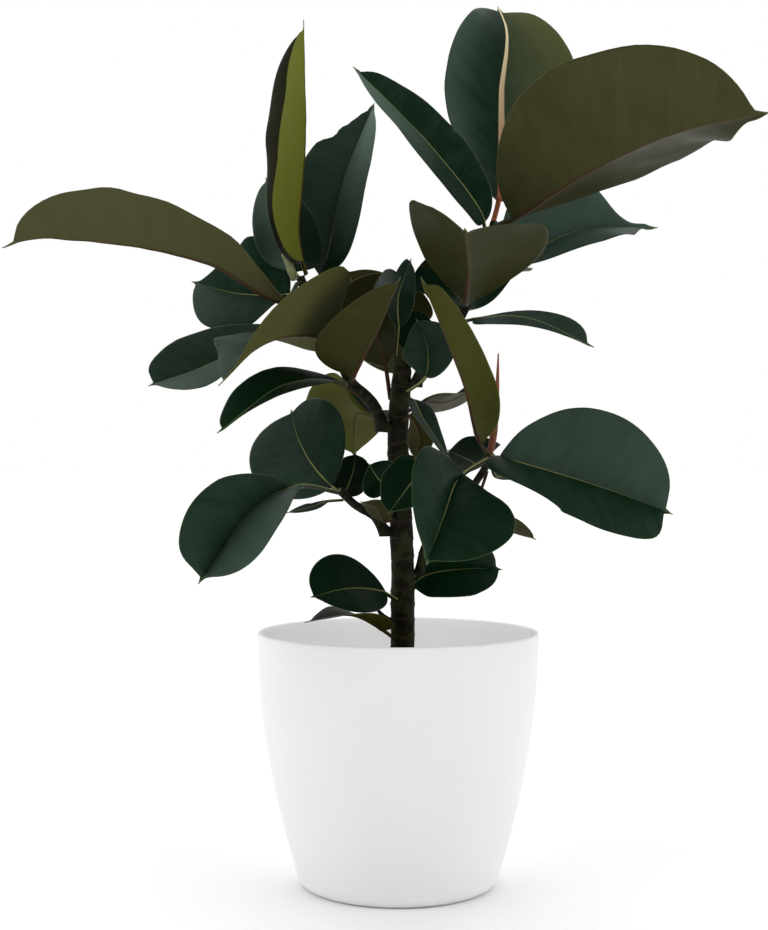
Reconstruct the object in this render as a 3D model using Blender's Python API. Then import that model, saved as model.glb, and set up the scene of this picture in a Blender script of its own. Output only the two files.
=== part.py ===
"""A potted rubber plant (Ficus elastica): a smooth planter, its soil, a woody trunk with four
branches, and every leaf as a solid of its own with its petiole.

Metres, +Z up. The origin is the middle of the planter's flat bottom. The front is -Y.
Places along the plant are given in millimetres and turned to metres by mm().
"""
import math

import bmesh
import bpy
import numpy as np

MM = 0.001
GAP = 0.0003                    # clearance between pieces that touch

# planter
POT_HEIGHT = 0.225
POT_RIM_RADIUS = 0.126          # outside, at the rim
POT_TAPER = 0.0385              # how much narrower the wall would end at the bottom
POT_TAPER_POWER = 1.9           # above 1, the wall curves in more and more towards the bottom
POT_EDGE_RADIUS = 0.010         # rounding of the bottom edge
POT_WALL = 0.0035
POT_FLOOR = 0.005
WALL_LEVELS = (0.045, 0.085, 0.125, 0.160)     # heights of the edges round the wall
POT_SIDES = 40

# soil
SOIL_EDGE_HEIGHT = 0.187        # where it meets the wall
SOIL_CROWN_HEIGHT = 0.194       # in the middle
TRUNK_HOLE_SIDES = 16

# wood
STEM_SIDES = 12

# leaves
BLADE_THICKNESS = 0.0014
FOLD_FROM, FOLD_TO = 0.0025, 0.0075     # half widths between which a blade's fold sets in
TIP_RADIUS = 0.0009             # the end of the thin drip tip
DRIP_TIP_HALF, DRIP_TIP_LONG = 0.035, 0.09    # its half width and length, as shares of the blade's width
BLADE_RINGS = 10
SMALL_BLADE_RINGS = 7           # for leaves under SMALL_WIDTH mm wide
SMALL_WIDTH = 60
PETIOLE_RINGS = 2
# places across a leaf: its upper side from the left margin to the right, then back underneath
ACROSS = np.array([-1, -0.5, 0, 0.5, 1, 0.5, 0, -0.5])
SIDE = np.array([0, 1, 1, 1, 0, -1, -1, -1])


def srgb(code):
    """A colour as Blender wants it, from its six-digit hex code."""
    parts = [int(code[i:i + 2], 16) / 255 for i in (0, 2, 4)]
    return [c / 12.92 if c <= 0.04045 else ((c + 0.055) / 1.055) ** 2.4 for c in parts] + [1.0]


def material(name, code, roughness):
    """A Principled material of one colour."""
    m = bpy.data.materials.new(name)
    m.use_nodes = True
    shader = m.node_tree.nodes["Principled BSDF"]
    shader.inputs["Base Color"].default_value = srgb(code)
    shader.inputs["Roughness"].default_value = roughness
    return m


def mm(points):
    """Points in millimetres as an array in metres."""
    return np.array(points, float) * MM


def unit(v):
    """Vectors scaled to length 1."""
    return v / np.linalg.norm(v, axis=-1, keepdims=True)


def add(name, verts, faces, look):
    """A mesh object in the scene, smooth but for its sharp edges."""
    mesh = bpy.data.meshes.new(name)
    mesh.from_pydata([tuple(v) for v in verts], [], faces)
    mesh.materials.append(look)
    mesh.shade_smooth()
    mesh.set_sharp_from_angle(angle=math.radians(40))
    obj = bpy.data.objects.new(name, mesh)
    bpy.context.collection.objects.link(obj)
    return obj


def loft(name, rings, start, end, look):
    """A closed solid from rings of points with a point to close each end.

    The diagonals of the second half of a ring mirror those of the first, so that the
    two sides of a thin leaf are cut into triangles alike and stay clear of each other.
    """
    count, sides = rings.shape[:2]
    verts = np.concatenate([rings.reshape(-1, 3), [start, end]])
    faces = []
    for i in range(count - 1):
        for k in range(sides):
            a, b = i * sides + k, i * sides + (k + 1) % sides
            c, d = a + sides, b + sides
            faces += [(a, b, d), (a, d, c)] if k < sides / 2 else [(a, b, c), (b, d, c)]
    last = (count - 1) * sides
    for k in range(sides):
        n = (k + 1) % sides
        faces.append((count * sides, n, k))
        faces.append((count * sides + 1, last + k, last + n))
    return add(name, verts, faces, look)


def revolve(name, profile, sides, look):
    """A solid turned about Z from (radius, height) points that begin and end on the axis."""
    turn = 2 * np.pi * np.arange(sides) / sides
    inner = np.array(profile[1:-1])
    rings = np.stack([inner[:, :1] * np.cos(turn), inner[:, :1] * np.sin(turn),
                      np.repeat(inner[:, 1:], sides, 1)], -1)
    return loft(name, rings, (0, 0, profile[0][1]), (0, 0, profile[-1][1]), look)


def smooth_path(points, count=240):
    """Evenly spaced points on a smooth curve through the given ones: cubic pieces that share
    their slope where they meet. Returns the points and the length up to each."""
    knots = np.concatenate([[0], np.cumsum(np.linalg.norm(np.diff(points, axis=0), axis=1))])
    slope = np.gradient(points, knots, axis=0)
    at = np.linspace(0, knots[-1], count)
    i = np.clip(np.searchsorted(knots, at, side="right") - 1, 0, len(points) - 2)
    step = (knots[i + 1] - knots[i])[:, None]
    x = (at[:, None] - knots[i, None]) / step
    curve = ((2 * x**3 - 3 * x**2 + 1) * points[i] + (x**3 - 2 * x**2 + x) * step * slope[i]
             + (3 * x**2 - 2 * x**3) * points[i + 1] + (x**3 - x**2) * step * slope[i + 1])
    length = np.concatenate([[0], np.cumsum(np.linalg.norm(np.diff(curve, axis=0), axis=1))])
    return curve, length


def along(curve, length, at):
    """Points and directions of a curve at the given lengths along it."""
    point = np.stack([np.interp(at, length, curve[:, k]) for k in range(3)], -1)
    ahead = np.stack([np.interp(at, length, s) for s in np.gradient(curve, axis=0).T], -1)
    return point, unit(ahead)


class Stem:
    """A woody stem: its centre line and its radius from one end to the other."""

    def __init__(self, points, radii):
        self.curve, self.length = smooth_path(mm(points))
        share = np.linspace(0, 1, len(radii))
        self.radius = np.interp(self.length / self.length[-1], share, np.array(radii) * MM)

    def seat(self, near, toward, radius):
        """Where a round-ended shoot of this radius starts: at the place on the stem nearest to
        near, on the side that faces toward, with the usual gap to the bark."""
        i = np.argmin(np.linalg.norm(self.curve - near, axis=1))
        axis = unit(np.gradient(self.curve, axis=0)[i])
        side = toward - self.curve[i]
        side = unit(side - axis * (side @ axis))
        return self.curve[i] + side * (self.radius[i] + GAP + radius)


def tube(name, curve, length, radius, look, rings, start_cap):
    """A round stem along a curve. Its start is a half ball or flat, and its end a low dome."""
    at = np.linspace(0, length[-1], rings)
    point, ahead = along(curve, length, at)
    size = np.interp(at, length, radius)
    if start_cap == "round":
        point = np.concatenate([[point[0] - 0.7 * size[0] * ahead[0]], point])
        ahead = np.concatenate([ahead[:1], ahead])
        size = np.concatenate([[0.714 * size[0]], size])
        start = point[1] - size[1] * ahead[0]
    else:
        start = point[0]
    turn = 2 * np.pi * np.arange(STEM_SIDES) / STEM_SIDES
    across = unit(np.cross(ahead, (0.3, -1.0, 0.1)))
    up = np.cross(ahead, across)
    rings = point[:, None] + size[:, None, None] * (
        across[:, None] * np.cos(turn)[:, None] + up[:, None] * np.sin(turn)[:, None])
    return loft(name, rings, start, point[-1] + 0.4 * size[-1] * ahead[-1], look)


def outline(share, blunt, belly, taper):
    """Half the width of a blade, as a share of its widest, from its base (0) to its tip (1):
    a sine arch. Less than 1, blunt makes the ends rounder, and taper then draws out the tip;
    over 1, belly moves the widest place towards the tip."""
    arch = np.sin(np.pi * np.clip(share / 0.95, 0, 1) ** belly)
    return np.clip(arch, 0, 1) ** (blunt + taper * share)


def pair(value):
    """(left, right) from one value or two."""
    return value if isinstance(value, tuple) else (value, value)


def leaf(name, stem, rib, wide, face, look, fold=10, blunt=0.62, belly=1.0, taper=0, sweep=0,
         face_tip=None):
    """A leaf: petiole, blade and drip tip in one solid.

    rib: the midrib in mm, from the stem through the base of the blade to the tip
    wide: the blade's width laid flat, in mm
    face, face_tip: the way the upper side looks, at the base and at the tip
    fold: degrees by which each half rises from flat; sweep: how far its margin leans forward
    """
    rib = mm(rib)
    petiole = 0.0012 + 0.008 * wide * MM
    rib[0] = stem.seat(rib[0], rib[1], petiole)
    curve, length = smooth_path(rib)
    base = length[np.argmin(np.linalg.norm(curve - rib[1], axis=1))]
    blade = length[-1] - base
    rings = BLADE_RINGS if wide >= SMALL_WIDTH else SMALL_BLADE_RINGS
    share = 0.5 - 0.5 * np.cos(np.pi * np.linspace(0, 1, rings))
    at = np.concatenate([np.linspace(0, base, PETIOLE_RINGS, endpoint=False), base + blade * share])
    share = np.clip((at - base) / blade, 0, 1)[:, None]
    point, ahead = along(curve, length, at)
    looks = unit(np.array(face, float)) * (1 - share) + unit(np.array(face_tip or face, float)) * share
    normal = unit(looks - ahead * np.sum(looks * ahead, 1, keepdims=True))
    right = np.cross(ahead, normal)

    side = (ACROSS > 0).astype(int)
    angle = np.radians(np.array(pair(fold), float)[side])
    halves = [outline(share, *(pair(v)[k] for v in (blunt, belly, taper))) for k in (0, 1)]
    half = wide * MM / 2 * np.where(side, halves[1], halves[0])
    round_half = np.interp(at, [0, base, base + blade], [petiole, petiole, TIP_RADIUS])[:, None]
    drip_tip = DRIP_TIP_HALF * wide * MM * np.clip((1 - share) * blade / (DRIP_TIP_LONG * wide * MM), 0, 1)
    round_half = np.maximum(round_half, drip_tip * (share > 0.5))
    half = np.hypot(half, round_half)
    lean = np.array(pair(sweep))[side] * ACROSS**2 * (half - round_half)
    flat = np.clip(share * 8, 0, 1)                  # from a round petiole to a thin blade
    thick = np.where(share > 0, round_half * (1 - flat) + BLADE_THICKNESS / 2 * flat, round_half)
    thick = np.minimum(thick, round_half) * np.sqrt(1 - ACROSS**2) * SIDE
    angle = angle * np.clip((half - FOLD_FROM) / (FOLD_TO - FOLD_FROM), 0, 1)
    out = ACROSS * half * np.cos(angle) - np.sign(ACROSS) * thick * np.sin(angle)
    rise = np.abs(ACROSS) * half * np.sin(angle) + thick * np.cos(angle)
    rings = (point[:, None] + right[:, None] * out[..., None] + normal[:, None] * rise[..., None]
             + ahead[:, None] * lean[..., None])
    heel = point[0] + 0.714 * (rings[0] - point[0]) - 0.7 * petiole * ahead[0]
    rings = np.concatenate([[heel], rings])
    return loft(name, rings, point[0] - petiole * ahead[0], point[-1] + TIP_RADIUS * ahead[-1], look)


def bud(name, stem, rib, radii, look):
    """A pointed bud sheath or a dry twig: a round shoot that narrows along its length."""
    rib = mm(rib)
    rib[0] = stem.seat(rib[0], rib[1], radii[0] * MM)
    curve, length = smooth_path(rib)
    size = np.interp(length / length[-1], np.linspace(0, 1, len(radii)), np.array(radii) * MM)
    return tube(name, curve, length, size, look, 9, "round")


def pot_radius(height):
    """Outer radius of the planter's wall at a height."""
    return POT_RIM_RADIUS - POT_TAPER * (1 - height / POT_HEIGHT) ** POT_TAPER_POWER


def pot_profile():
    """(radius, height) round the planter's wall, from the middle of its bottom outwards."""
    edge = POT_EDGE_RADIUS
    foot = pot_radius(edge) - edge
    turns = np.radians(np.linspace(0, 90, 5))
    points = [(0, 0), (foot / 2, 0)]
    points += [(foot + edge * math.sin(a), edge - edge * math.cos(a)) for a in turns]
    rim = POT_WALL / 2
    points += [(pot_radius(z), z) for z in (*WALL_LEVELS, SOIL_EDGE_HEIGHT, POT_HEIGHT - rim)]
    centre = pot_radius(POT_HEIGHT - rim) - rim
    points += [(centre + rim * math.cos(a), POT_HEIGHT - rim + rim * math.sin(a)) for a in turns[1:]]
    points += [(centre - rim * math.sin(a), POT_HEIGHT - rim + rim * math.cos(a)) for a in turns[1:]]
    levels = (SOIL_EDGE_HEIGHT, *WALL_LEVELS[::-1], POT_FLOOR + edge)
    points += [(pot_radius(z) - POT_WALL, z) for z in levels]
    inside = pot_radius(POT_FLOOR + edge) - POT_WALL
    points += [(inside - edge * (1 - math.cos(a)), POT_FLOOR + edge * (1 - math.sin(a))) for a in turns[1:]]
    return points + [(inside / 2, POT_FLOOR), (0, POT_FLOOR)]


def soil_profile():
    """(radius, height) round the soil: it fills the planter and rises a little in the middle."""
    clear = POT_WALL + GAP
    low = POT_FLOOR + GAP
    edge = POT_EDGE_RADIUS
    inside = pot_radius(POT_FLOOR + edge) - clear
    turns = np.radians(np.linspace(0, 90, 5))
    points = [(0, low), (inside / 2, low)]
    points += [(inside - edge * (1 - math.sin(a)), low + edge * (1 - math.cos(a))) for a in turns]
    points += [(pot_radius(z) - clear, z) for z in (*WALL_LEVELS, SOIL_EDGE_HEIGHT)]
    mound = SOIL_CROWN_HEIGHT - SOIL_EDGE_HEIGHT
    reach = pot_radius(SOIL_EDGE_HEIGHT) - clear
    points += [(reach * s, SOIL_EDGE_HEIGHT + mound * (1 - s**2)) for s in (0.9, 0.65, 0.35)]
    return points + [(0, SOIL_CROWN_HEIGHT)]


def cut_trunk_hole(soil, trunk):
    """Cuts the hole that the foot of the trunk stands in."""
    foot = trunk.curve[0]
    bm = bmesh.new()
    top = SOIL_CROWN_HEIGHT + 0.02
    depth = top - foot[2] + GAP
    bmesh.ops.create_cone(bm, cap_ends=True, segments=TRUNK_HOLE_SIDES, radius1=trunk.radius[0] + 2 * GAP,
                          radius2=trunk.radius[0] + 2 * GAP, depth=depth)
    mesh = bpy.data.meshes.new("trunk_hole")
    bm.to_mesh(mesh)
    bm.free()
    cutter = bpy.data.objects.new("trunk_hole", mesh)
    cutter.location = (foot[0], foot[1], top - depth / 2)
    cutter.hide_render = True
    cutter.display_type = "WIRE"
    bpy.context.collection.objects.link(cutter)
    cut = soil.modifiers.new("trunk hole", "BOOLEAN")
    cut.operation = "DIFFERENCE"
    cut.object = cutter


def stem_on(parent, points, radii):
    """A branch whose round end is seated on the bark of its parent stem."""
    points = [list(p) for p in points]
    start = parent.seat(mm(points[0]), mm(points[1]), radii[0] * MM)
    points[0] = list(start / MM)
    return Stem(points, radii)


def build_wood(bark):
    """The trunk and its four branches."""
    trunk = Stem([(4, 0, 130), (4, 0, 210), (4, 0, 289), (2, 0, 343), (0, 0, 405), (3, 0, 450), (4, 0, 471)],
                 (11, 11, 10.6, 10.3, 10, 9.3, 8))
    stems = {
        "trunk": trunk,
        "branch_left": stem_on(trunk, [(1, 0, 407), (-23, -12, 429), (-43, -20, 449), (-56, -20, 480),
                                       (-77, -15, 516), (-87, -12, 541)], (5.5, 5, 4.5, 4, 4)),
        "branch_right": stem_on(trunk, [(4, 0, 446), (24, -4, 466), (44, -6, 488), (64, -6, 522),
                                        (77, -5, 562), (87, -5, 592)], (4.5, 4.3, 4, 4, 4)),
        "branch_low_left": stem_on(trunk, [(2, 0, 314), (-21, -6, 328), (-39, -10, 339), (-52, -12, 352)],
                                   (4.5, 4, 3.5)),
        "branch_low_right": stem_on(trunk, [(5, 0, 276), (24, 2, 299), (54, 0, 337), (77, -6, 370),
                                            (84, -8, 383)], (4, 3.5, 3.3)),
    }
    for name, stem in stems.items():
        rings = 16 if name == "trunk" else 12
        tube(name, stem.curve, stem.length, stem.radius, bark, rings, "flat" if name == "trunk" else "round")
    return stems


def build_right_crown(stem, green, young):
    """The leaves at the top of the right branch."""
    leaf("leaf_right_front", stem,
         [(93, -20, 586), (102, -30, 591), (161, -90, 621), (228, -160, 640), (283, -200, 644)], 186,
         (-0.45, 0.85, 0.35), green, fold=(31, 21), blunt=(0.77, 0.61), belly=(0.7, 0.95), taper=(0.4, 0),
         sweep=(0.35, 0))
    leaf("leaf_right_upright", stem,
         [(89, 5, 593), (91, 8, 613), (94, 22, 647), (96, 45, 721), (103, 75, 788), (97, 95, 815)], 144,
         (0.4, -0.9, 0), green, fold=(17, 14), blunt=0.45, belly=(0.85, 1.05), taper=(0.05, 0),
         sweep=(0, 0.35))
    leaf("leaf_right_inner", stem, [(80, -5, 580), (76, -14, 590), (35, -31, 646), (-39, -56, 717)], 71,
         (0.35, -0.75, 0.5), green, fold=(19, 7), blunt=(0.48, 0.61), belly=(0.7, 0.95),
         taper=(-0.05, -0.25), sweep=(0, -0.3))
    leaf("leaf_right_back", stem, [(92, 10, 578), (85, 20, 560), (174, 60, 595), (248, 80, 600)], 137,
         (0, -0.75, 0.65), green, fold=(34, 32), blunt=(1.1, 0.72), belly=(0.9, 1.2), taper=(1.6, 0.85),
         sweep=(0.2, 0.15))
    leaf("leaf_right_cupped", stem, [(71, -15, 521), (60, -28, 516), (58, -100, 537), (51, -170, 560)],
         150, (0.35, 0.5, 0.8), green, fold=(45, 28), blunt=(0.89, 0.45), belly=(0.95, 0.85),
         taper=(-0.1, 0.1), sweep=(0.05, 0.2))
    leaf("leaf_right_hidden", stem, [(72, 2, 512), (59, 10, 515), (71, 60, 554), (53, 100, 602)], 112,
         (0.1, 0.3, 1), green, fold=(22, 11), blunt=(0.82, 0.6), belly=(0.65, 1.1), taper=(0.2, 0.1),
         sweep=(-0.15, 0.15))
    leaf("leaf_right_low", stem, [(61, -4, 502), (67, -10, 504), (110, -30, 504), (169, -50, 476)], 43,
         (-0.2, -0.5, 0.85), green, fold=(1, 6), blunt=(0.73, 0.87), belly=(1.75, 0.6), taper=(0.3, 0.85),
         sweep=(0.5, -0.35))


def build_left_crown(stem, green, young):
    """The leaves at the top of the left branch, with the youngest still upright."""
    leaf("leaf_left_long", stem,
         [(-89, -18, 535), (-97, -28, 520), (-165, -50, 548), (-257, -70, 564), (-320, -85, 562),
          (-334, -85, 557)],
         104, (-0.3, 0.15, 0.95), green, fold=(40, 26), blunt=(0.45, 0.36), belly=(1.75, 1.55),
         taper=(0.1, -0.3), sweep=(0, 0.2))
    leaf("leaf_left_young", stem, [(-85, -12, 543), (-85, -14, 555), (-83, -10, 668), (-85, 0, 774)], 99,
         (-1.15, -0.05, -0.1), young, fold=(47, 27), blunt=(0.36, 0.59), belly=(1.15, 0.6),
         taper=(0.15, -0.05))
    leaf("leaf_left_torn", stem, [(-72, 5, 527), (-70, 18, 546), (-48, 60, 649), (-22, 95, 722)], 85,
         (0.15, -0.9, -0.05), green, fold=(2, 65), blunt=(0.67, 0.37), belly=(1.1, 0.7),
         taper=(0.2, 0.25), sweep=(-0.25, -0.15))
    leaf("leaf_left_behind", stem, [(-90, 5, 543), (-94, 12, 550), (-105, 22, 597), (-122, 40, 640)], 63,
         (0.15, -0.85, 0.5), green, fold=(8, 1), blunt=(0.68, 0.45), belly=(0.8, 0.65),
         taper=(-0.05, 0.05), sweep=(-0.1, -0.15))
    leaf("leaf_left_dark", stem, [(-88, 2, 524), (-101, 32, 530), (-154, 65, 536), (-196, 84, 549)], 113,
         (0.15, -0.95, 0.25), green, fold=(26, 13), blunt=(0.56, 0.69), belly=(1.25, 0.75),
         taper=(0.1, 0.5), sweep=(-0.2, 0.2))
    leaf("leaf_left_low", stem, [(-78, -15, 510), (-105, 6, 498), (-176, -16, 460), (-218, -40, 443)], 84,
         (0.05, -0.65, 0.8), green, fold=(17, 9), blunt=(0.87, 0.68), belly=(2.3, 1.15),
         taper=(-0.25, -0.3), sweep=(0.25, 0.1))
    leaf("leaf_left_front", stem,
         [(-53, -25, 474), (-59, -28, 476), (-86, -75, 484), (-114, -115, 472), (-146, -140, 438)], 143,
         (-0.35, 0.1, 0.9), green, fold=(28, 24), blunt=(1.1, 0.49), belly=(0.95, 0.85), taper=(1.6, 0.2),
         sweep=(-0.3, -0.05))
    leaf("leaf_left_cupped", stem, [(-45, -20, 447), (-38, -60, 451), (-18, -90, 487), (1, -108, 529)],
         90, (-0.7, 0.3, 0.6), green, fold=(33, 50), blunt=(0.32, 0.81), belly=(0.9, 0.75),
         taper=(-0.35, -0.2), sweep=(-0.55, -0.25))
    leaf("leaf_left_arching", stem,
         [(-34, -17, 439), (-46, -30, 443), (-93, -80, 443), (-148, -130, 400)], 63, (0.1, -0.05, 0.95),
         green, fold=(1, 16), blunt=(0.95, 0.53), belly=(0.65, 0.75), taper=(1.25, 0.05),
         sweep=(0.1, 0.4))


def build_middle_crown(stem, green, young):
    """The leaves round the top of the trunk."""
    leaf("leaf_middle_back", stem, [(0, 8, 433), (-11, 12, 463), (-19, 40, 498), (9, 70, 556)], 87,
         (-0.15, 0.85, -0.25), young, fold=0, blunt=(0.75, 0.54), belly=(1.2, 0.95), taper=(0.1, 0.15),
         sweep=(0.5, 0.2))
    leaf("leaf_middle_dark", stem, [(6, 6, 464), (11, 10, 475), (26, 17, 492), (38, 21, 498)], 61,
         (0, -0.95, 0.3), green, fold=(10, 9), sweep=0.05)
    leaf("leaf_middle_creased", stem, [(9, -8, 441), (24, -22, 452), (26, -25, 475), (16, -30, 502)], 56,
         (0, -1, 0.2), green, fold=30, blunt=(0.62, 0.63), taper=(0, -0.05), sweep=(0, 0.05))
    leaf("leaf_middle_small", stem, [(4, 5, 476), (0, 6, 498), (0, 2, 524), (12, 4, 560)], 42,
         (0.65, -0.5, -0.55), green, fold=(9, 12), blunt=(0.46, 0.55), taper=(-0.1, 0), sweep=(0.25, 0))
    leaf("leaf_middle_left", stem, [(4, 10, 448), (6, 82, 467), (-25, 125, 523), (-51, 150, 570)], 87,
         (0.2, 0.9, 0.4), green, fold=(18, 8), blunt=(0.54, 0.57), belly=1.1, taper=(0, -0.2),
         sweep=(0, 0.3))
    leaf("leaf_trunk_arching", stem, [(1, -12, 432), (13, -26, 431), (21, -42, 415), (45, -54, 378)], 32,
         (0.35, -0.45, 0.75), green, fold=(3, 19), blunt=(0.62, 0.57), belly=(0.6, 1), taper=(0.2, -0.4),
         sweep=(-0.1, 0))
    leaf("leaf_trunk_right", stem, [(6, 10, 422), (22, 20, 431), (43, 45, 432), (78, 70, 448)], 52,
         (0, 0.5, 0.85), green, fold=(2, 4), blunt=0.34, belly=(0.95, 0.9), taper=(-0.35, 0.55),
         sweep=(0.1, 0.5))
    leaf("leaf_trunk_narrow", stem, [(3, -12, 414), (10, -20, 417), (19, -35, 398), (14, -45, 379)], 26,
         (0.3, 0.95, 0.2), green)
    leaf("leaf_trunk_hanging", stem, [(2, 8, 428), (-10, 25, 418), (-38, 70, 422), (-42, 110, 382)], 95,
         (-0.25, 0.8, 0.55), young, fold=(12, 15), blunt=(0.6, 0.79), belly=(0.75, 0.9),
         taper=(0.35, 0.05), sweep=(0.5, 0.25))
    leaf("leaf_trunk_front", stem, [(2, -13, 377), (24, -25, 377), (7, -45, 353), (-9, -60, 332)], 57,
         (0.35, 0, 0.95), green, fold=(6, 9), blunt=(0.7, 0.74), belly=(1.05, 0.7), taper=(0.15, -0.35),
         sweep=(0, -0.1))


def build_low_right(stem, green, young):
    """The leaves on the low branch to the right."""
    leaf("leaf_low_right_tall", stem, [(82, -14, 382), (72, -25, 394), (56, -70, 441), (18, -110, 529)],
         60, (0.7, 0.65, 0.35), young, fold=(69, 43), blunt=(0.56, 0.89), belly=(0.65, 1.3),
         taper=(-0.3, 0.25), sweep=(-0.25, -0.5))
    leaf("leaf_low_right_large", stem,
         [(87, -14, 379), (90, -27, 380), (140, -42, 366), (197, -58, 347), (234, -66, 332)], 129,
         (-0.3, -0.75, 0.65), green, fold=(22, 38), blunt=(0.57, 0.45), belly=(1, 0.75),
         taper=(-0.15, -0.2), sweep=(0.05, 0.3), face_tip=(0.05, -1, 0.1))
    leaf("leaf_low_right_front", stem, [(83, -16, 377), (55, -45, 365), (37, -105, 332), (21, -160, 295)],
         121, (0.4, -0.45, 0.8), green, fold=(21, 44), blunt=0.63, belly=(1.05, 0.8), taper=(-0.1, 0),
         sweep=(0.15, 0.35))
    leaf("leaf_low_right_inner", stem, [(78, 0, 377), (75, 10, 374), (65, 35, 379), (47, 60, 388)], 60,
         (-0.1, -0.9, 0.45), green, fold=(5, 4), blunt=(0.62, 0.41), belly=(0.95, 0.6), taper=(0, -0.2))
    leaf("leaf_low_right_small", stem, [(85, 0, 375), (88, 12, 364), (108, 35, 366), (127, 60, 355)], 38,
         (0, -0.75, 0.65), green, fold=(10, 11), blunt=(0.66, 0.79), belly=(1.05, 1.2), taper=0.1,
         sweep=(-0.05, 0.25))
    leaf("leaf_low_right_back", stem, [(81, 0, 368), (71, 20, 324), (92, 42, 322), (130, 60, 304)], 29,
         (0.55, 0.65, 0.4), green, fold=(8, 3), blunt=(0.63, 0.76), belly=(0.75, 0.95),
         taper=(0.3, -0.25), sweep=(0.1, -0.05))


def build_low_left(stem, green, young):
    """The leaves on the low branch to the left."""
    leaf("leaf_low_left_large", stem,
         [(-53, -18, 351), (-83, -50, 356), (-125, -110, 334), (-161, -150, 279)], 102,
         (-0.15, -0.75, 0.6), green, fold=(24, 70), blunt=(0.46, 0.74), belly=(1.9, 2.05),
         taper=(0.05, -0.4), sweep=(0.15, 0.3))
    leaf("leaf_low_left_round", stem, [(-54, -14, 354), (-59, -5, 355), (-90, 30, 395), (-100, 60, 426)],
         105, (-0.6, -0.55, 0.5), green, fold=(19, 13), blunt=(0.52, 0.43), belly=(0.9, 0.6),
         taper=(-0.15, 0), sweep=(0.1, 0.25))
    leaf("leaf_low_left_small", stem, [(-48, -5, 352), (-50, 5, 346), (-41, 30, 368), (-39, 50, 385)], 35,
         (0, -0.85, 0.5), green, fold=(10, 9), blunt=(0.57, 0.59), belly=(1.05, 0.95),
         taper=(-0.1, -0.15), sweep=(0, -0.2))
    leaf("leaf_low_left_pointed", stem,
         [(-47, -14, 345), (-62, -20, 342), (-74, -45, 338), (-96, -60, 333)], 14, (-0.1, -0.55, 0.8),
         green, fold=5, blunt=(0.57, 0.6), taper=(-0.05, 0.05), sweep=(0.2, 0))


def build_trunk_foot(stem, green, young):
    """The small leaves low on the trunk."""
    leaf("leaf_foot_inner", stem, [(-4, -10, 343), (-9, -14, 351), (-18, -20, 362), (-26, -26, 375)], 41,
         (-0.05, -0.85, 0.55), green, fold=(9, 7), blunt=(0.69, 0.58), belly=(0.95, 1.05),
         taper=(0.15, 0), sweep=(0, 0.05))
    leaf("leaf_foot_narrow", stem, [(-4, -10, 325), (-10, -16, 324), (-21, -30, 338), (-33, -40, 342)],
         26, (0, 0.35, 0.95), green, fold=(11, 10))
    leaf("leaf_foot_left", stem, [(-4, -12, 254), (-12, -25, 261), (-43, -60, 268), (-74, -90, 263)], 70,
         (0, -0.9, 0.65), green, fold=(12, 8), blunt=(0.44, 0.59), belly=(1.25, 0.9), taper=(0.2, -0.05),
         sweep=(0.1, 0.2))
    leaf("leaf_foot_lowest", stem, [(-5, -10, 220), (-14, -20, 228), (-42, -50, 244), (-80, -80, 241)],
         55, (0, 0.15, 1), green, fold=(0, 20), blunt=(0.59, 0.86), belly=(0.95, 0.7), taper=(0.2, 0.05),
         sweep=(-0.45, -0.1))
    leaf("leaf_foot_right", stem, [(13, 4, 263), (13, 12, 265), (68, 30, 279), (97, 45, 277)], 59,
         (0.55, -0.65, 0.45), green, fold=(56, 8), blunt=(0.59, 0.3), belly=(1.25, 1.3),
         taper=(0.35, 0.1), sweep=(0.1, -0.3))


def main():
    """Builds the whole plant in an empty scene."""
    for obj in list(bpy.data.objects):
        bpy.data.objects.remove(obj)
    white = material("planter_white", "EFEDEF", 0.45)
    earth = material("soil_brown", "3A2A1E", 0.95)
    bark = material("bark_brown", "3D3026", 0.8)
    green = material("leaf_green", "1F3B2C", 0.3)
    young = material("leaf_young", "6F7C3A", 0.35)
    sheath = material("bud_sheath", "8A4B36", 0.45)

    revolve("pot", pot_profile(), POT_SIDES, white)
    soil = revolve("soil", soil_profile(), POT_SIDES, earth)
    stems = build_wood(bark)
    cut_trunk_hole(soil, stems["trunk"])
    build_right_crown(stems["branch_right"], green, young)
    build_left_crown(stems["branch_left"], green, young)
    build_middle_crown(stems["trunk"], green, young)
    build_low_right(stems["branch_low_right"], green, young)
    build_low_left(stems["branch_low_left"], green, young)
    build_trunk_foot(stems["trunk"], green, young)
    bud("bud_left", stems["branch_left"], [(-87, -12, 540), (-96, -13, 549), (-103, -17, 561)],
        (2.5, 4, 2.5, 0.8), sheath)
    bud("bud_low_right", stems["branch_low_right"], [(83, 0, 384), (85, 4, 395), (89, 8, 430), (91, 10, 475)],
        (3, 3.5, 2.5, 1.6, 0.6), sheath)
    bud("twig_foot", stems["trunk"], [(-6, -4, 236), (-14, -8, 240), (-20, -12, 247)], (1.6, 1.8, 1.4), bark)


main()
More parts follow.
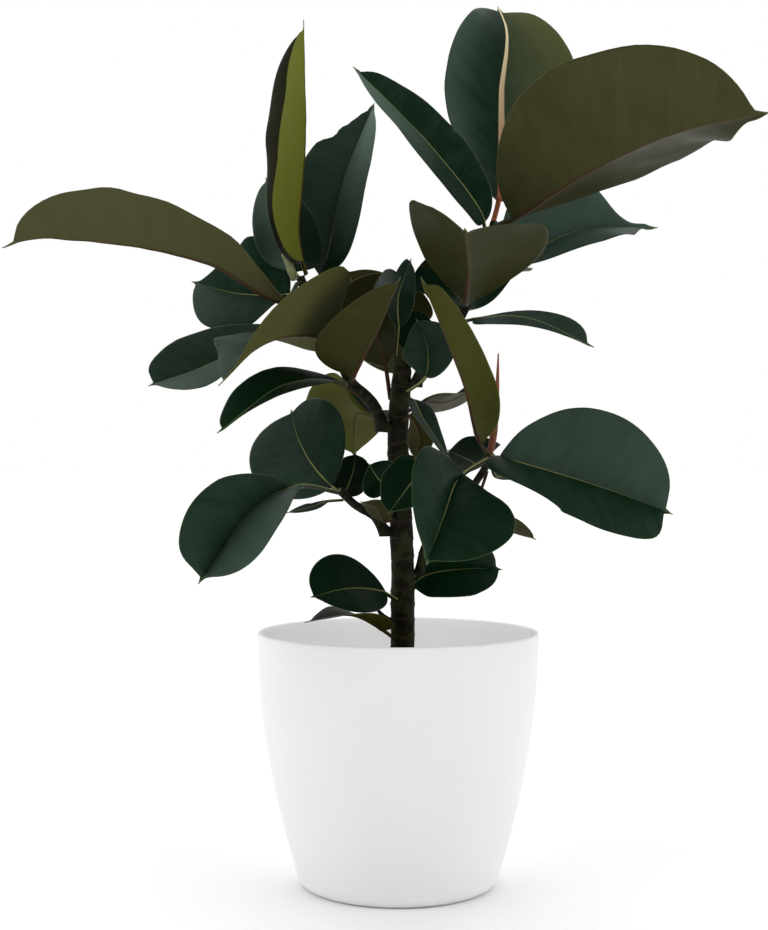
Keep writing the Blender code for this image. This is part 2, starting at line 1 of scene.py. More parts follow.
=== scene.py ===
# %% [markdown]
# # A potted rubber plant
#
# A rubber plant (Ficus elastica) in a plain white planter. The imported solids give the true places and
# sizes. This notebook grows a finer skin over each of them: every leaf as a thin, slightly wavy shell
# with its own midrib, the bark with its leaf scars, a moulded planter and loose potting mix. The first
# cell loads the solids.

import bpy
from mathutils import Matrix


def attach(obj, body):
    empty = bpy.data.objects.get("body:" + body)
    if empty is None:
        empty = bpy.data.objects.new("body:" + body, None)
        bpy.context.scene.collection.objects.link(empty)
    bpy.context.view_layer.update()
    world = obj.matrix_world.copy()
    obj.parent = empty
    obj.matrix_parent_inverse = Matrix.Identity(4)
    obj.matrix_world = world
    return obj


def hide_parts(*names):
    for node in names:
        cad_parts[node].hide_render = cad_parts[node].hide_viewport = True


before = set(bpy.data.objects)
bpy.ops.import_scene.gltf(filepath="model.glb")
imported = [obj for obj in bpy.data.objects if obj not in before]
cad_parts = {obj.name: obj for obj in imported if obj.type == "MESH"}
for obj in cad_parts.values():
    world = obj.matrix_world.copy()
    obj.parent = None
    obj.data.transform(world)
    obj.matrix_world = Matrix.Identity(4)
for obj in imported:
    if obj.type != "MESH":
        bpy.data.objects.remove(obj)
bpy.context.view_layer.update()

# %% [markdown]
# ## The studio
#
# The plant stands on a white floor. It is seen from straight in front, level, from a little over
# a metre away, so the leaves that reach forward look larger than those behind. The room is white
# behind and above the plant and dark on the viewer's side: a glossy dark leaf then shows its own
# colour where it mirrors the dark side, and a pale sheen where it mirrors the white one. A wide
# soft lamp on each side and one from high up behind light the leaves and the floor. They are suns
# with wide discs, because those light a large floor evenly and cast soft shadows, and they are
# kept out of mirror images, where such a disc would show as a hard spot.

# %% Camera
import math
import zlib

import bpy
import numpy as np

MM = 0.001
EYE = (-0.0126, -1.350, 0.374)      # metres
LENS, SENSOR = 58.14, 36            # mm; the sensor's is its longer side, which stands upright

camera = bpy.data.objects.new("camera", bpy.data.cameras.new("camera"))
camera.data.lens = LENS
camera.data.sensor_width = SENSOR
camera.location = EYE
camera.rotation_euler = (math.radians(90), 0, 0)
bpy.context.scene.collection.objects.link(camera)
bpy.context.scene.camera = camera
bpy.context.scene.view_settings.view_transform = "Standard"
print("camera", round(-EYE[1], 2), "m in front of the planter")

# %% Helpers for nodes and colours
def colour(code):
    """A six-digit sRGB hex code as linear RGBA: each part is undone from the sRGB curve."""
    parts = [int(code[i:i + 2], 16) / 255 for i in (0, 2, 4)]
    return [c / 12.92 if c <= 0.04045 else ((c + 0.055) / 1.055) ** 2.4 for c in parts] + [1.0]


def fill(tree, node, inputs):
    """Gives a node's sockets, by name or number, a value, another node's socket to follow, or a
    node, whose first output is meant."""
    for name, value in inputs.items():
        value = value.outputs[0] if isinstance(value, bpy.types.Node) else value
        if isinstance(value, bpy.types.NodeSocket):
            tree.links.new(value, node.inputs[name])
        else:
            node.inputs[name].default_value = value
    return node


def put(tree, kind, inputs=None, **settings):
    """Adds a node with its settings and fills its sockets."""
    node = tree.nodes.new(kind)
    for name, value in settings.items():
        setattr(node, name, value)
    return fill(tree, node, inputs or {})


def blank(name):
    """A new material, its node tree and its Principled shader, still as they come."""
    made = bpy.data.materials.new(name)
    made.use_nodes = True
    return made, made.node_tree, made.node_tree.nodes["Principled BSDF"]


# 3A4B40 is the pale grey green of the leaves' painted sheen.
print("leaf green as linear colour:", [round(c, 3) for c in colour("3A4B40")])

# %% Room
ROOM_BEHIND, ROOM_FRONT = 0.8, 0.03     # how bright the white side of the room is, and the dark one

world = bpy.data.worlds.new("studio")
world.use_nodes = True
bpy.context.scene.world = world
tree = world.node_tree
tree.nodes.clear()
ray = put(tree, "ShaderNodeLightPath")
way = put(tree, "ShaderNodeTexCoord")
split = put(tree, "ShaderNodeSeparateXYZ", {0: way.outputs["Generated"]})
lean = put(tree, "ShaderNodeMath", {0: split.outputs["Z"], 1: 1.2, 2: split.outputs["Y"]},
           operation="MULTIPLY_ADD")
behind = put(tree, "ShaderNodeMapRange", {"Value": lean, "From Min": -0.4, "From Max": 1.6,
                                          "To Min": ROOM_FRONT, "To Max": ROOM_BEHIND},
             interpolation_type="SMOOTHSTEP")
backdrop = put(tree, "ShaderNodeMath", {0: behind, 1: ray.outputs["Is Camera Ray"]},
               operation="MAXIMUM")             # seen directly, the backdrop is plain white
sky = put(tree, "ShaderNodeBackground", {"Color": (1, 1, 1, 1), "Strength": backdrop})
put(tree, "ShaderNodeOutputWorld", {"Surface": sky})
print("room:", ROOM_BEHIND, "behind and above,", ROOM_FRONT, "in front")

# %% Lamps and floor
LAMPS = {   # name: (degrees round from the front, degrees up, width of its disc in degrees, strength)
    "lamp_left": (-60, 28, 60, 1.3),
    "lamp_right": (60, 28, 60, 1.3),
    "lamp_top": (180, 66, 70, 1.1),
}
for name, (turn, up, disc, strength) in LAMPS.items():
    lamp = bpy.data.objects.new(name, bpy.data.lights.new(name, "SUN"))
    lamp.data.energy = strength
    lamp.data.angle = math.radians(disc)
    lamp.rotation_euler = (math.radians(90 - up), 0, math.radians(turn))
    lamp.visible_glossy = False
    bpy.context.scene.collection.objects.link(lamp)

painted, tree, shader = blank("floor_paint_matt")
fill(tree, shader, {"Base Color": colour("F8F8F8"), "Roughness": 0.9})
FLOOR_REACH = 90                    # metres each way, past where the eye could find an edge
mesh = bpy.data.meshes.new("floor")
corners = [(x * FLOOR_REACH, y * FLOOR_REACH, 0) for x, y in ((-1, -1), (1, -1), (1, 1), (-1, 1))]
mesh.from_pydata(corners, [], [(0, 1, 2, 3)])
mesh.materials.append(painted)
floor = bpy.data.objects.new("floor", mesh)
bpy.context.scene.collection.objects.link(floor)
floor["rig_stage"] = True
print("lamps:", ", ".join(LAMPS), "and a floor")

# %% [markdown]
# ## Lines to grow along
#
# A stem or a midrib is a smooth curve through a few places given in millimetres. The curve is
# made of cubic pieces that share their slope where they meet, which passes exactly through the
# places and never overshoots much. Everything else, such as a leaf's outline or the bark's
# relief, is measured by the length along such a curve.

# %% Curves
def mm(points):
    """Millimetres to metres, as an array."""
    return np.array(points, float) * MM


def unit(v):
    """Vectors scaled to length 1."""
    return v / np.linalg.norm(v, axis=-1, keepdims=True)


def smooth_path(points, count=240):
    """A smooth curve through the points, and the length up to each of its places.

    Between two points it is the cubic that has their places and slopes: for a share x of the
    way it is (2x^3-3x^2+1) p0 + (x^3-2x^2+x) h m0 + (3x^2-2x^3) p1 + (x^3-x^2) h m1.
    """
    knots = np.concatenate([[0], np.cumsum(np.linalg.norm(np.diff(points, axis=0), axis=1))])
    slope = np.gradient(points, knots, axis=0)
    at = np.linspace(0, knots[-1], count)
    i = np.clip(np.searchsorted(knots, at, side="right") - 1, 0, len(points) - 2)
    step = (knots[i + 1] - knots[i])[:, None]
    x = (at[:, None] - knots[i, None]) / step
    curve = ((2 * x**3 - 3 * x**2 + 1) * points[i] + (x**3 - 2 * x**2 + x) * step * slope[i]
             + (3 * x**2 - 2 * x**3) * points[i + 1] + (x**3 - x**2) * step * slope[i + 1])
    length = np.concatenate([[0], np.cumsum(np.linalg.norm(np.diff(curve, axis=0), axis=1))])
    return curve, length


def along(curve, length, at):
    """Places and directions of a curve at the given lengths, each read off in a straight line."""
    point = np.stack([np.interp(at, length, curve[:, k]) for k in range(3)], -1)
    ahead = np.stack([np.interp(at, length, s) for s in np.gradient(curve, axis=0).T], -1)
    return point, unit(ahead)


def ripples(places, sizes, seed):
    """A smooth random height at each place, from -1 to 1 or so: a sum of plane sine waves in
    random directions, seven for each wavelength in sizes, longer waves being stronger."""
    rng = np.random.default_rng(seed)
    total = np.zeros(places.shape[:-1])
    for size in sizes:
        ways = unit(rng.normal(size=(7, 3))) * 2 * np.pi / size
        total += np.sin(places @ ways.T + rng.uniform(0, 2 * np.pi, 7)).sum(-1) * size / sizes[0] / 3.5
    return total


trial, _ = smooth_path(mm([(0, 0, 0), (0, 0, 50), (9, 0, 99)]))
print("a curve through three places has", len(trial), "points")

# %% [markdown]
# ## One closed skin
#
# Every piece here is rings of points carried along something: a leaf along its midrib, bark along a
# stem, the planter round its profile. One function sews rings into quads, closes both ends with a fan
# of triangles, and puts the measurements that the materials read (such as the distance from the midrib)
# on the points. Each piece then rides on the plant's one body and stands for its solid, which is
# hidden.

# %% Sew rings into a piece
def sew(name, rings, start, end, looks, node, measures=None, look_of=None, uv=None):
    """A closed mesh from a grid of rings, its two end points, and a material or several.

    With s points to a ring, the quad after point k of ring i is i*s+k, its neighbour, and the
    same two of the next ring. look_of gives each quad the number of its material.
    """
    count, sides = rings.shape[:2]
    i, k = np.meshgrid(np.arange(count - 1), np.arange(sides), indexing="ij")
    n = (k + 1) % sides
    quads = np.stack([i * sides + k, i * sides + n, (i + 1) * sides + n, (i + 1) * sides + k], -1)
    k, n, last = np.arange(sides), (np.arange(sides) + 1) % sides, (count - 1) * sides
    fans = np.concatenate([np.stack([np.full(sides, count * sides), n, k], -1),
                           np.stack([np.full(sides, count * sides + 1), last + k, last + n], -1)])
    mesh = bpy.data.meshes.new(name)
    points = np.concatenate([rings.reshape(-1, 3), [start, end]])
    mesh.from_pydata(points.tolist(), [], quads.reshape(-1, 4).tolist() + fans.tolist())
    for look in looks:
        mesh.materials.append(look)
    if look_of is not None:
        every = np.broadcast_to(look_of, (count - 1, sides))
        number = np.concatenate([every.ravel(), every[0], every[-1]])
        mesh.polygons.foreach_set("material_index", number.astype(np.int32))
    for key, values in (measures or {}).items():
        whole = np.concatenate([values.ravel(), values[0, :1], values[-1, :1]])
        mesh.attributes.new(key, "FLOAT", "POINT").data.foreach_set("value", whole.astype(np.float32))
    if uv is not None:
        corner = np.empty(len(mesh.loops), np.int32)
        mesh.loops.foreach_get("vertex_index", corner)
        whole = np.concatenate([uv.reshape(-1, 2), uv[0, :1], uv[-1, :1]]).astype(np.float32)
        mesh.uv_layers.new(name="UVMap").data.foreach_set("uv", whole[corner].ravel())
    mesh.shade_smooth()
    mesh.update()
    piece = bpy.data.objects.new(name, mesh)
    bpy.context.scene.collection.objects.link(piece)
    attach(piece, "root")
    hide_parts(node)
    return piece


print("solids to cover:", len(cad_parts))

# %% [markdown]
# ## The planter
#
# A pot cover moulded in white polypropylene. Its wall curves in towards a narrow foot and is 3.5 mm
# thick, with a fully rounded rim. It is a profile turned about the upright axis, with enough sides that
# the rim looks round. Moulded plastic is satin: an IOR of 1.49 and a middling roughness, with a very
# fine grain left by the mould. The same plastic is drawn twice: outside, where it is simply white, and
# inside, as a lit copy with twenty times the subsurface glow, which paints extra light on the inner
# wall.

# %% Planter plastic
def moulded_plastic(name, glow):
    """Polypropylene, injection moulded, white. The eye sees a soft, wide, even sheen; glow is the
    subsurface weight, and near 1, on the inside copy, it paints a brighter glow of light in the mouth."""
    made, tree, shader = blank(name)
    place = put(tree, "ShaderNodeTexCoord").outputs["Object"]
    cloud = put(tree, "ShaderNodeTexNoise", {"Vector": place, "Scale": 1 / (60 * MM), "Detail": 2.0})
    tint = put(tree, "ShaderNodeMix", {0: cloud, 6: colour("EDEBED"), 7: colour("F1EFF1")},
               data_type="RGBA")
    rough = put(tree, "ShaderNodeMapRange", {"Value": cloud, "To Min": 0.36, "To Max": 0.46})
    # mould grain, drawn at 0.9 mm because the real 0.2 mm is too fine to show
    grain = put(tree, "ShaderNodeTexNoise", {"Vector": place, "Scale": 1 / (0.9 * MM), "Detail": 1.0})
    bump = put(tree, "ShaderNodeBump", {"Height": grain, "Strength": 0.25, "Distance": 0.05 * MM})
    fill(tree, shader, {"Base Color": tint.outputs[2], "Roughness": rough, "Normal": bump,
                        "IOR": 1.49, "Subsurface Weight": glow, "Subsurface Radius": (1, 1, 1),
                        "Subsurface Scale": 20 * MM})
    return made


outside = moulded_plastic("planter_polypropylene_outside", 0.05)
inside = moulded_plastic("planter_polypropylene_inside_lit", 1.0)
print("planter finishes:", outside.name, inside.name)

# %% Planter wall
POT_HEIGHT, POT_RIM_RADIUS = 0.225, 0.126
POT_TAPER, POT_TAPER_POWER = 0.0385, 1.9
POT_EDGE_RADIUS, POT_WALL, POT_FLOOR = 0.010, 0.0035, 0.005
POT_SIDES = 192


def pot_radius(height):
    """Outer radius at a height: the rim's, less a taper that grows towards the foot as
    (1 - height / whole height) to the power 1.9."""
    return POT_RIM_RADIUS - POT_TAPER * (1 - height / POT_HEIGHT) ** POT_TAPER_POWER


def turned(profile, sides):
    """Rings about the upright axis from (radius, height) pairs."""
    turn = 2 * np.pi * np.arange(sides) / sides
    radius, height = profile[:, :1], profile[:, 1:]
    return np.stack([radius * np.cos(turn), radius * np.sin(turn), np.repeat(height, sides, 1)], -1)


def pot_profile():
    """The wall's section from the middle of the foot, up the outside, over the rim and back
    down inside: quarter circles at the foot, half a circle at the rim."""
    edge, rim = POT_EDGE_RADIUS, POT_WALL / 2
    turn = np.radians(np.linspace(0, 90, 9))
    foot = pot_radius(edge) - edge
    rising = np.linspace(edge, POT_HEIGHT - rim, 40)[1:-1]
    lip = np.radians(np.linspace(0, 180, 15))
    centre = pot_radius(POT_HEIGHT - rim) - rim
    falling = np.linspace(POT_HEIGHT - rim, POT_FLOOR + edge, 30)[1:]
    hollow = pot_radius(POT_FLOOR + edge) - POT_WALL
    inward, down = edge * (1 - np.cos(turn[1:])), edge * (1 - np.sin(turn[1:]))
    return np.concatenate([
        [(foot * 0.4, 0), (foot * 0.8, 0)],
        np.stack([foot + edge * np.sin(turn), edge - edge * np.cos(turn)], -1),
        np.stack([pot_radius(rising), rising], -1),
        np.stack([centre + rim * np.cos(lip), POT_HEIGHT - rim + rim * np.sin(lip)], -1),
        np.stack([pot_radius(falling) - POT_WALL, falling], -1),
        np.stack([hollow - inward, POT_FLOOR + down], -1),
        [(hollow * 0.4, POT_FLOOR)]])


section = pot_profile()
past_rim = (np.arange(len(section)) > np.argmax(section[:, 1])).astype(int)
sew("pot_moulded", turned(section, POT_SIDES), (0, 0, 0), (0, 0, POT_FLOOR), [outside, inside],
    "pot", look_of=past_rim[:-1, None])
print("planter", round(POT_HEIGHT / MM), "mm tall")

# %% [markdown]
# ## The soil
#
# Potting mix: dark peat with small lumps and a few white grains of perlite. Its surface is a
# round grid that ripples at random, and some hundreds of lumps lie half sunk in it. A lump is an
# icosahedron pulled out of shape, which is enough for a crumb of a few millimetres.

# %% Potting mix
def potting_mix(name, dark, light, rough_low):
    """Damp peat, or perlite in its pale form: a matt, crumbly surface that scatters all light."""
    made, tree, shader = blank(name)
    place = put(tree, "ShaderNodeTexCoord").outputs["Object"]
    crumb = put(tree, "ShaderNodeTexNoise", {"Vector": place, "Scale": 1 / (4 * MM), "Detail": 6.0,
                                             "Roughness": 0.7})
    tint = put(tree, "ShaderNodeMix", {0: crumb, 6: colour(dark), 7: colour(light)},
               data_type="RGBA")
    rough = put(tree, "ShaderNodeMapRange", {"Value": crumb, "To Min": rough_low, "To Max": 1.0})
    bump = put(tree, "ShaderNodeBump", {"Height": crumb, "Strength": 0.9, "Distance": 1 * MM})
    fill(tree, shader, {"Base Color": tint.outputs[2], "Roughness": rough, "Normal": bump})
    return made


peat = potting_mix("soil_peat_damp", "1A120C", "4A3626", 0.8)
perlite = potting_mix("soil_perlite_grain", "C9C4BA", "EEEAE2", 0.7)
print("soil finishes:", peat.name, perlite.name)

# %% Soil surface
SOIL_EDGE_HEIGHT, SOIL_CROWN_HEIGHT = 0.187, 0.194
SOIL_SIDES, SOIL_RINGS = 144, 44
CLEAR = 0.3 * MM                     # space left between two pieces that touch
SOIL_REACH = pot_radius(SOIL_EDGE_HEIGHT) - POT_WALL


def soil_height(x, y):
    """The mound's height less the square of the share of the way to the wall, plus ripples."""
    share = np.hypot(x, y) / SOIL_REACH
    lump = ripples(np.stack([x, y, 0 * x], -1), (0.035, 0.017, 0.009), 5)
    return (SOIL_EDGE_HEIGHT + (SOIL_CROWN_HEIGHT - SOIL_EDGE_HEIGHT) * (1 - share**2)
            + 1.1 * MM * lump * np.clip((1 - share) * 12, 0, 1) - 1.5 * MM)


reach = SOIL_REACH - CLEAR
low = np.linspace(POT_FLOOR + POT_EDGE_RADIUS, SOIL_EDGE_HEIGHT - 2 * MM, 12)
wall = np.stack([pot_radius(low) - POT_WALL - CLEAR, low], -1)
under_soil = [(wall[0, 0] - 0.01, POT_FLOOR + CLEAR)]
surface = np.stack([reach * np.linspace(1, 0.02, SOIL_RINGS), np.zeros(SOIL_RINGS)], -1)
soil_rings = turned(np.concatenate([under_soil, wall, surface]), SOIL_SIDES)
top = soil_rings[-SOIL_RINGS:]
top[..., 2] = soil_height(top[..., 0], top[..., 1])
centre = (0, 0, float(soil_height(np.zeros(1), np.zeros(1))[0]))
sew("soil_mix", soil_rings, (0, 0, POT_FLOOR + CLEAR), centre, [peat, perlite], "soil")
print("soil", round(reach * 2 / MM), "mm across")

# %% Lumps on the soil
LUMPS, PERLITE = 420, 60
CRUMBS = LUMPS + PERLITE
GOLDEN = (1 + 5 ** 0.5) / 2          # an icosahedron's corners lie on three golden rectangles
BALL = unit(np.array([(-1, GOLDEN, 0), (1, GOLDEN, 0), (-1, -GOLDEN, 0), (1, -GOLDEN, 0),
                      (0, -1, GOLDEN), (0, 1, GOLDEN), (0, -1, -GOLDEN), (0, 1, -GOLDEN),
                      (GOLDEN, 0, -1), (GOLDEN, 0, 1), (-GOLDEN, 0, -1), (-GOLDEN, 0, 1)]))
BALL_FACES = np.array([(0, 11, 5), (0, 5, 1), (0, 1, 7), (0, 7, 10), (0, 10, 11), (1, 5, 9), (5, 11, 4),
                       (11, 10, 2), (10, 7, 6), (7, 1, 8), (3, 9, 4), (3, 4, 2), (3, 2, 6), (3, 6, 8),
                       (3, 8, 9), (4, 9, 5), (2, 4, 11), (6, 2, 10), (8, 6, 7), (9, 8, 1)])

rng = np.random.default_rng(11)
far = 0.95 * reach * np.sqrt(rng.uniform(0.03, 1, CRUMBS))      # the root spreads them evenly
turn = rng.uniform(0, 2 * np.pi, CRUMBS)
spot = np.stack([far * np.cos(turn), far * np.sin(turn)], -1)
size = np.where(np.arange(CRUMBS) < LUMPS, rng.uniform(1.2, 4.2, CRUMBS),
                rng.uniform(0.9, 1.9, CRUMBS)) * MM
warp = rng.uniform(0.6, 1.25, (CRUMBS, 12, 1)) * rng.uniform(0.6, 1.3, (CRUMBS, 1, 3))
lumps = BALL * size[:, None, None] * warp
sunk = soil_height(spot[:, 0], spot[:, 1]) + 0.1 * size
lumps += np.concatenate([spot, sunk[:, None]], -1)[:, None]
faces = (BALL_FACES + len(BALL) * np.arange(CRUMBS)[:, None, None]).reshape(-1, 3)
pale = np.repeat(np.arange(CRUMBS) >= LUMPS, len(BALL_FACES))
mesh = bpy.data.meshes.new("soil_lumps")
mesh.from_pydata(lumps.reshape(-1, 3).tolist(), [], faces.tolist())
mesh.materials.append(peat)
mesh.materials.append(perlite)
mesh.polygons.foreach_set("material_index", pale.astype(np.int32))
crumbs = bpy.data.objects.new("soil_lumps", mesh)
bpy.context.scene.collection.objects.link(crumbs)
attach(crumbs, "root")
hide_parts("soil")
print(LUMPS, "lumps and", PERLITE, "grains of perlite")

# %% [markdown]
# ## Bark
#
# The trunk and branches are dark brown wood, still green in places, ringed by the scars that
# fallen leaves and their sheaths left, and dotted with pale pores. The scars are real ridges in
# the mesh, a centimetre or two apart, because they show in the outline. The colour follows a
# measure kept on the points, high on a scar, and fine noise.

# %% Bark finish
PORE_SPACING = 4.5 * MM


def rubber_bark():
    """Young fig bark: thin, dull and waxy, dark olive brown with paler scars and pores."""
    made, tree, shader = blank("bark_fig_waxy")
    place = put(tree, "ShaderNodeTexCoord").outputs["Object"]
    scar = put(tree, "ShaderNodeAttribute", attribute_name="scar").outputs["Fac"]
    patch = put(tree, "ShaderNodeTexNoise", {"Vector": place, "Scale": 1 / (12 * MM), "Detail": 3.0})
    green = put(tree, "ShaderNodeMapRange", {"Value": patch, "From Min": 0.45, "From Max": 0.6})
    tint = put(tree, "ShaderNodeMix", {0: green, 6: colour("110E07"), 7: colour("282C15")},
               data_type="RGBA")
    fine = put(tree, "ShaderNodeTexNoise", {"Vector": place, "Scale": 1 / (3 * MM), "Detail": 5.0,
                                            "Roughness": 0.65})
    worn = put(tree, "ShaderNodeMapRange", {"Value": fine, "From Min": 0.5, "From Max": 0.75,
                                            "To Max": 0.7})
    pores = put(tree, "ShaderNodeTexVoronoi", {"Vector": place, "Scale": 1 / PORE_SPACING})
    dot = put(tree, "ShaderNodeMapRange", {"Value": pores.outputs["Distance"], "From Min": 0.1,
                                           "From Max": 0.22, "To Min": 0.6, "To Max": 0.0})
    for amount, code in ((worn, "2B2519"), (scar, "302B1B"), (dot, "3B3626")):
        tint = put(tree, "ShaderNodeMix", {0: amount, 6: tint.outputs[2], 7: colour(code)},
                   data_type="RGBA")
    rough = put(tree, "ShaderNodeMapRange", {"Value": fine, "To Min": 0.5, "To Max": 0.85})
    relief = put(tree, "ShaderNodeMath", {0: fine, 1: dot}, operation="ADD")
    bump = put(tree, "ShaderNodeBump", {"Height": relief, "Strength": 0.7, "Distance": 0.5 * MM})
    fill(tree, shader, {"Base Color": tint.outputs[2], "Roughness": rough, "Normal": bump,
                        "Specular IOR Level": 0.15})
    return made


fig_bark = rubber_bark()
print("bark finish:", fig_bark.name)

# %% Centre lines of stems

class Stem:
    """A stem's centre line, and its radius, which changes evenly from one given value to the next."""

    def __init__(self, points, radii):
        self.curve, self.length = smooth_path(mm(points))
        share = np.linspace(0, 1, len(radii))
        self.radius = np.interp(self.length / self.length[-1], share, np.array(radii) * MM)

    def seat(self, near, toward, radius):
        """Where a shoot starts on the bark: the place nearest to near, on the side facing toward,
        and the point on the stem's axis behind it."""
        i = np.argmin(np.linalg.norm(self.curve - near, axis=1))
        axis = unit(np.gradient(self.curve, axis=0)[i])
        side = toward - self.curve[i]
        side = unit(side - axis * (side @ axis))
        return self.curve[i] + side * (self.radius[i] + CLEAR + radius), self.curve[i]


def stem_on(parent, points, radii):
    """A branch that starts on the bark of its parent."""
    start, root = parent.seat(mm(points[0]), mm(points[1]), radii[0] * MM)
    branch = Stem([start / MM, *points[1:]], radii)
    branch.root = root
    return branch


trunk = Stem([(4, 0, 130), (4, 0, 210), (4, 0, 289), (2, 0, 343), (0, 0, 405), (3, 0, 450),
              (4, 0, 471)], (11, 11, 10.6, 10.3, 10, 9.3, 8))
stems = {
    "trunk": trunk,
    "branch_left": stem_on(trunk, [(1, 0, 407), (-23, -12, 429), (-43, -20, 449), (-56, -20, 480),
                                   (-77, -15, 516), (-87, -12, 541)], (5.5, 5, 4.5, 4, 4)),
    "branch_right": stem_on(trunk, [(4, 0, 446), (24, -4, 466), (44, -6, 488), (64, -6, 522),
                                    (77, -5, 562), (87, -5, 592)], (4.5, 4.3, 4, 4, 4)),
    "branch_low_left": stem_on(trunk, [(2, 0, 314), (-21, -6, 328), (-39, -10, 339), (-52, -12, 352)],
                               (4.5, 4, 3.5)),
    "branch_low_right": stem_on(trunk, [(5, 0, 276), (24, 2, 299), (54, 0, 337), (77, -6, 370),
                                        (84, -8, 383)], (4, 3.5, 3.3)),
}
print("stems:", ", ".join(stems))

# %% Bark round the stems
STEM_SIDES, STEM_STEP = 40, 1.3 * MM     # points in a ring, and from ring to ring
SCAR_SPACING = (9 * MM, 19 * MM)         # between leaf scars
SCAR_HEIGHT, SCAR_HALF = 0.55 * MM, 1.0 * MM
FULL_RADIUS = 10 * MM                    # a stem this thick has scars of full height


def circles(ahead, sides):
    """Round each place, unit arrows square to its direction: one circle of them for a ring."""
    turn = 2 * np.pi * np.arange(sides) / sides
    side = unit(np.cross(ahead, (0.3, -1.0, 0.1)))
    up = np.cross(ahead, side)
    return side[:, None] * np.cos(turn)[:, None] + up[:, None] * np.sin(turn)[:, None], turn


def bark(name, stem, look):
    """Rings along a stem, its radius lifted by three things: a ridge at each leaf scar, a bell
    curve that climbs a little round the stem; lumps 16, 8 and 4 mm long; and a swelling at the
    foot of a branch, where it leaves its parent."""
    seed = zlib.crc32(name.encode())
    rng = np.random.default_rng(seed)
    whole = stem.length[-1]
    at = np.arange(0, whole, STEM_STEP)
    point, ahead = along(stem.curve, stem.length, at)
    radius = np.interp(at, stem.length, stem.radius)[:, None]
    ring, turn = circles(ahead, STEM_SIDES)
    scars = np.cumsum(rng.uniform(*SCAR_SPACING, 40))
    scars = scars[scars < whole - 4 * MM]
    climb = at[:, None] + 1.4 * MM * np.sin(turn + 2.4 * at[:, None] / (13 * MM))
    near = np.abs(climb[..., None] - scars).min(-1)
    ridge = np.exp(-(near / SCAR_HALF) ** 2)
    lumpy = ripples(point[:, None] + ring * radius[..., None], (0.016, 0.008, 0.004), seed)
    swell = np.exp(-at[:, None] / (5 * MM)) * (0 if name == "trunk" else 0.5)
    size = radius * (1 + swell + 0.05 * lumpy) + SCAR_HEIGHT * ridge * radius / FULL_RADIUS
    rings = point[:, None] + ring * size[..., None]
    start = point[0]
    if name != "trunk":
        start = stem.root
        rings = np.concatenate([[start + (rings[0] - point[0]) * 1.1], rings])
        ridge = np.concatenate([ridge[:1], ridge])
    tip = point[-1] + 0.4 * stem.radius[-1] * ahead[-1]
    return sew(name + "_bark", rings, start, tip, [look], name, {"scar": 0.8 * ridge})


for name, stem in stems.items():
    bark(name, stem, fig_bark)
print("bark grown round", len(stems), "stems")

# %% [markdown]
# ## Leaf finishes
#
# The upper side of a rubber plant's leaf has a thick waxy cuticle: very dark green and satin like oiled
# leather, with a fine pale midrib. A paler grey green is painted on some leaves and halves of leaves as
# painted sheen, and a darker green on others as painted shade. Side veins leave the midrib every 5 mm
# or so, lean a little towards the tip and are only just seen, and soft lighter streaks, painted
# reflections, run between them. The underside is duller and olive brown, with a raised brown midrib,
# and yellow green on a young leaf, a colour that also paints a glow of light shining through some
# blades. A thin pale line edges the blade.
#
# All of that is drawn from measures on the points: how far a place is from the midrib, along the blade
# and in from the margin, in metres; the share of the way to the tip; the leaf's tone, its painted sheen
# and shade, where 0 is dark green, less is painted shade and 1 is the pale grey green of a painted
# sheen; and its youth, from 0 to 1, the young colour and in places a painted glow of light through the
# blade.

# %% Side veins and painted reflection streaks
VEIN_SPACING = 5 * MM
VEIN_SLANT = 0.35                   # how much a side vein gains along the leaf for each step out
# The streaks are painted reflections: paler bands between the veins.
SHEEN_STREAK = 11 * MM                    # from one soft streak to the next


def side_veins(tree, read, out, cloud):
    """Veins, the peaks of a cosine of (distance along - slant * distance out) / spacing, bent a little
    by noise; and the streaks between them, painted reflections: a noise drawn out four times across the
    leaf."""
    back = put(tree, "ShaderNodeMath", {0: out, 1: -VEIN_SLANT, 2: read["along"]},
               operation="MULTIPLY_ADD")
    bent = put(tree, "ShaderNodeMath", {0: cloud, 1: 4 * MM, 2: back}, operation="MULTIPLY_ADD")
    phase = put(tree, "ShaderNodeMath", {0: bent, 1: 2 * math.pi / VEIN_SPACING},
                operation="MULTIPLY")
    wave = put(tree, "ShaderNodeMath", {0: phase}, operation="COSINE")
    vein = put(tree, "ShaderNodeMapRange", {"Value": wave, "From Min": 0.35, "From Max": 1.0},
               interpolation_type="SMOOTHSTEP")
    lanes = put(tree, "ShaderNodeCombineXYZ", {"X": bent, "Y": read["across"]})
    lanes = put(tree, "ShaderNodeVectorMath", {0: lanes, 1: (1, 0.25, 1)}, operation="MULTIPLY")
    streak = put(tree, "ShaderNodeTexNoise", {"Vector": lanes, "Scale": 1 / SHEEN_STREAK, "Detail": 2.0})
    return vein, streak


print("side veins", round(VEIN_SPACING / MM), "mm apart")

# %% Leaf surface material
PATCH, GRAIN = 35 * MM, 2.5 * MM    # sizes of the cloudy patches and of the wax's fine grain


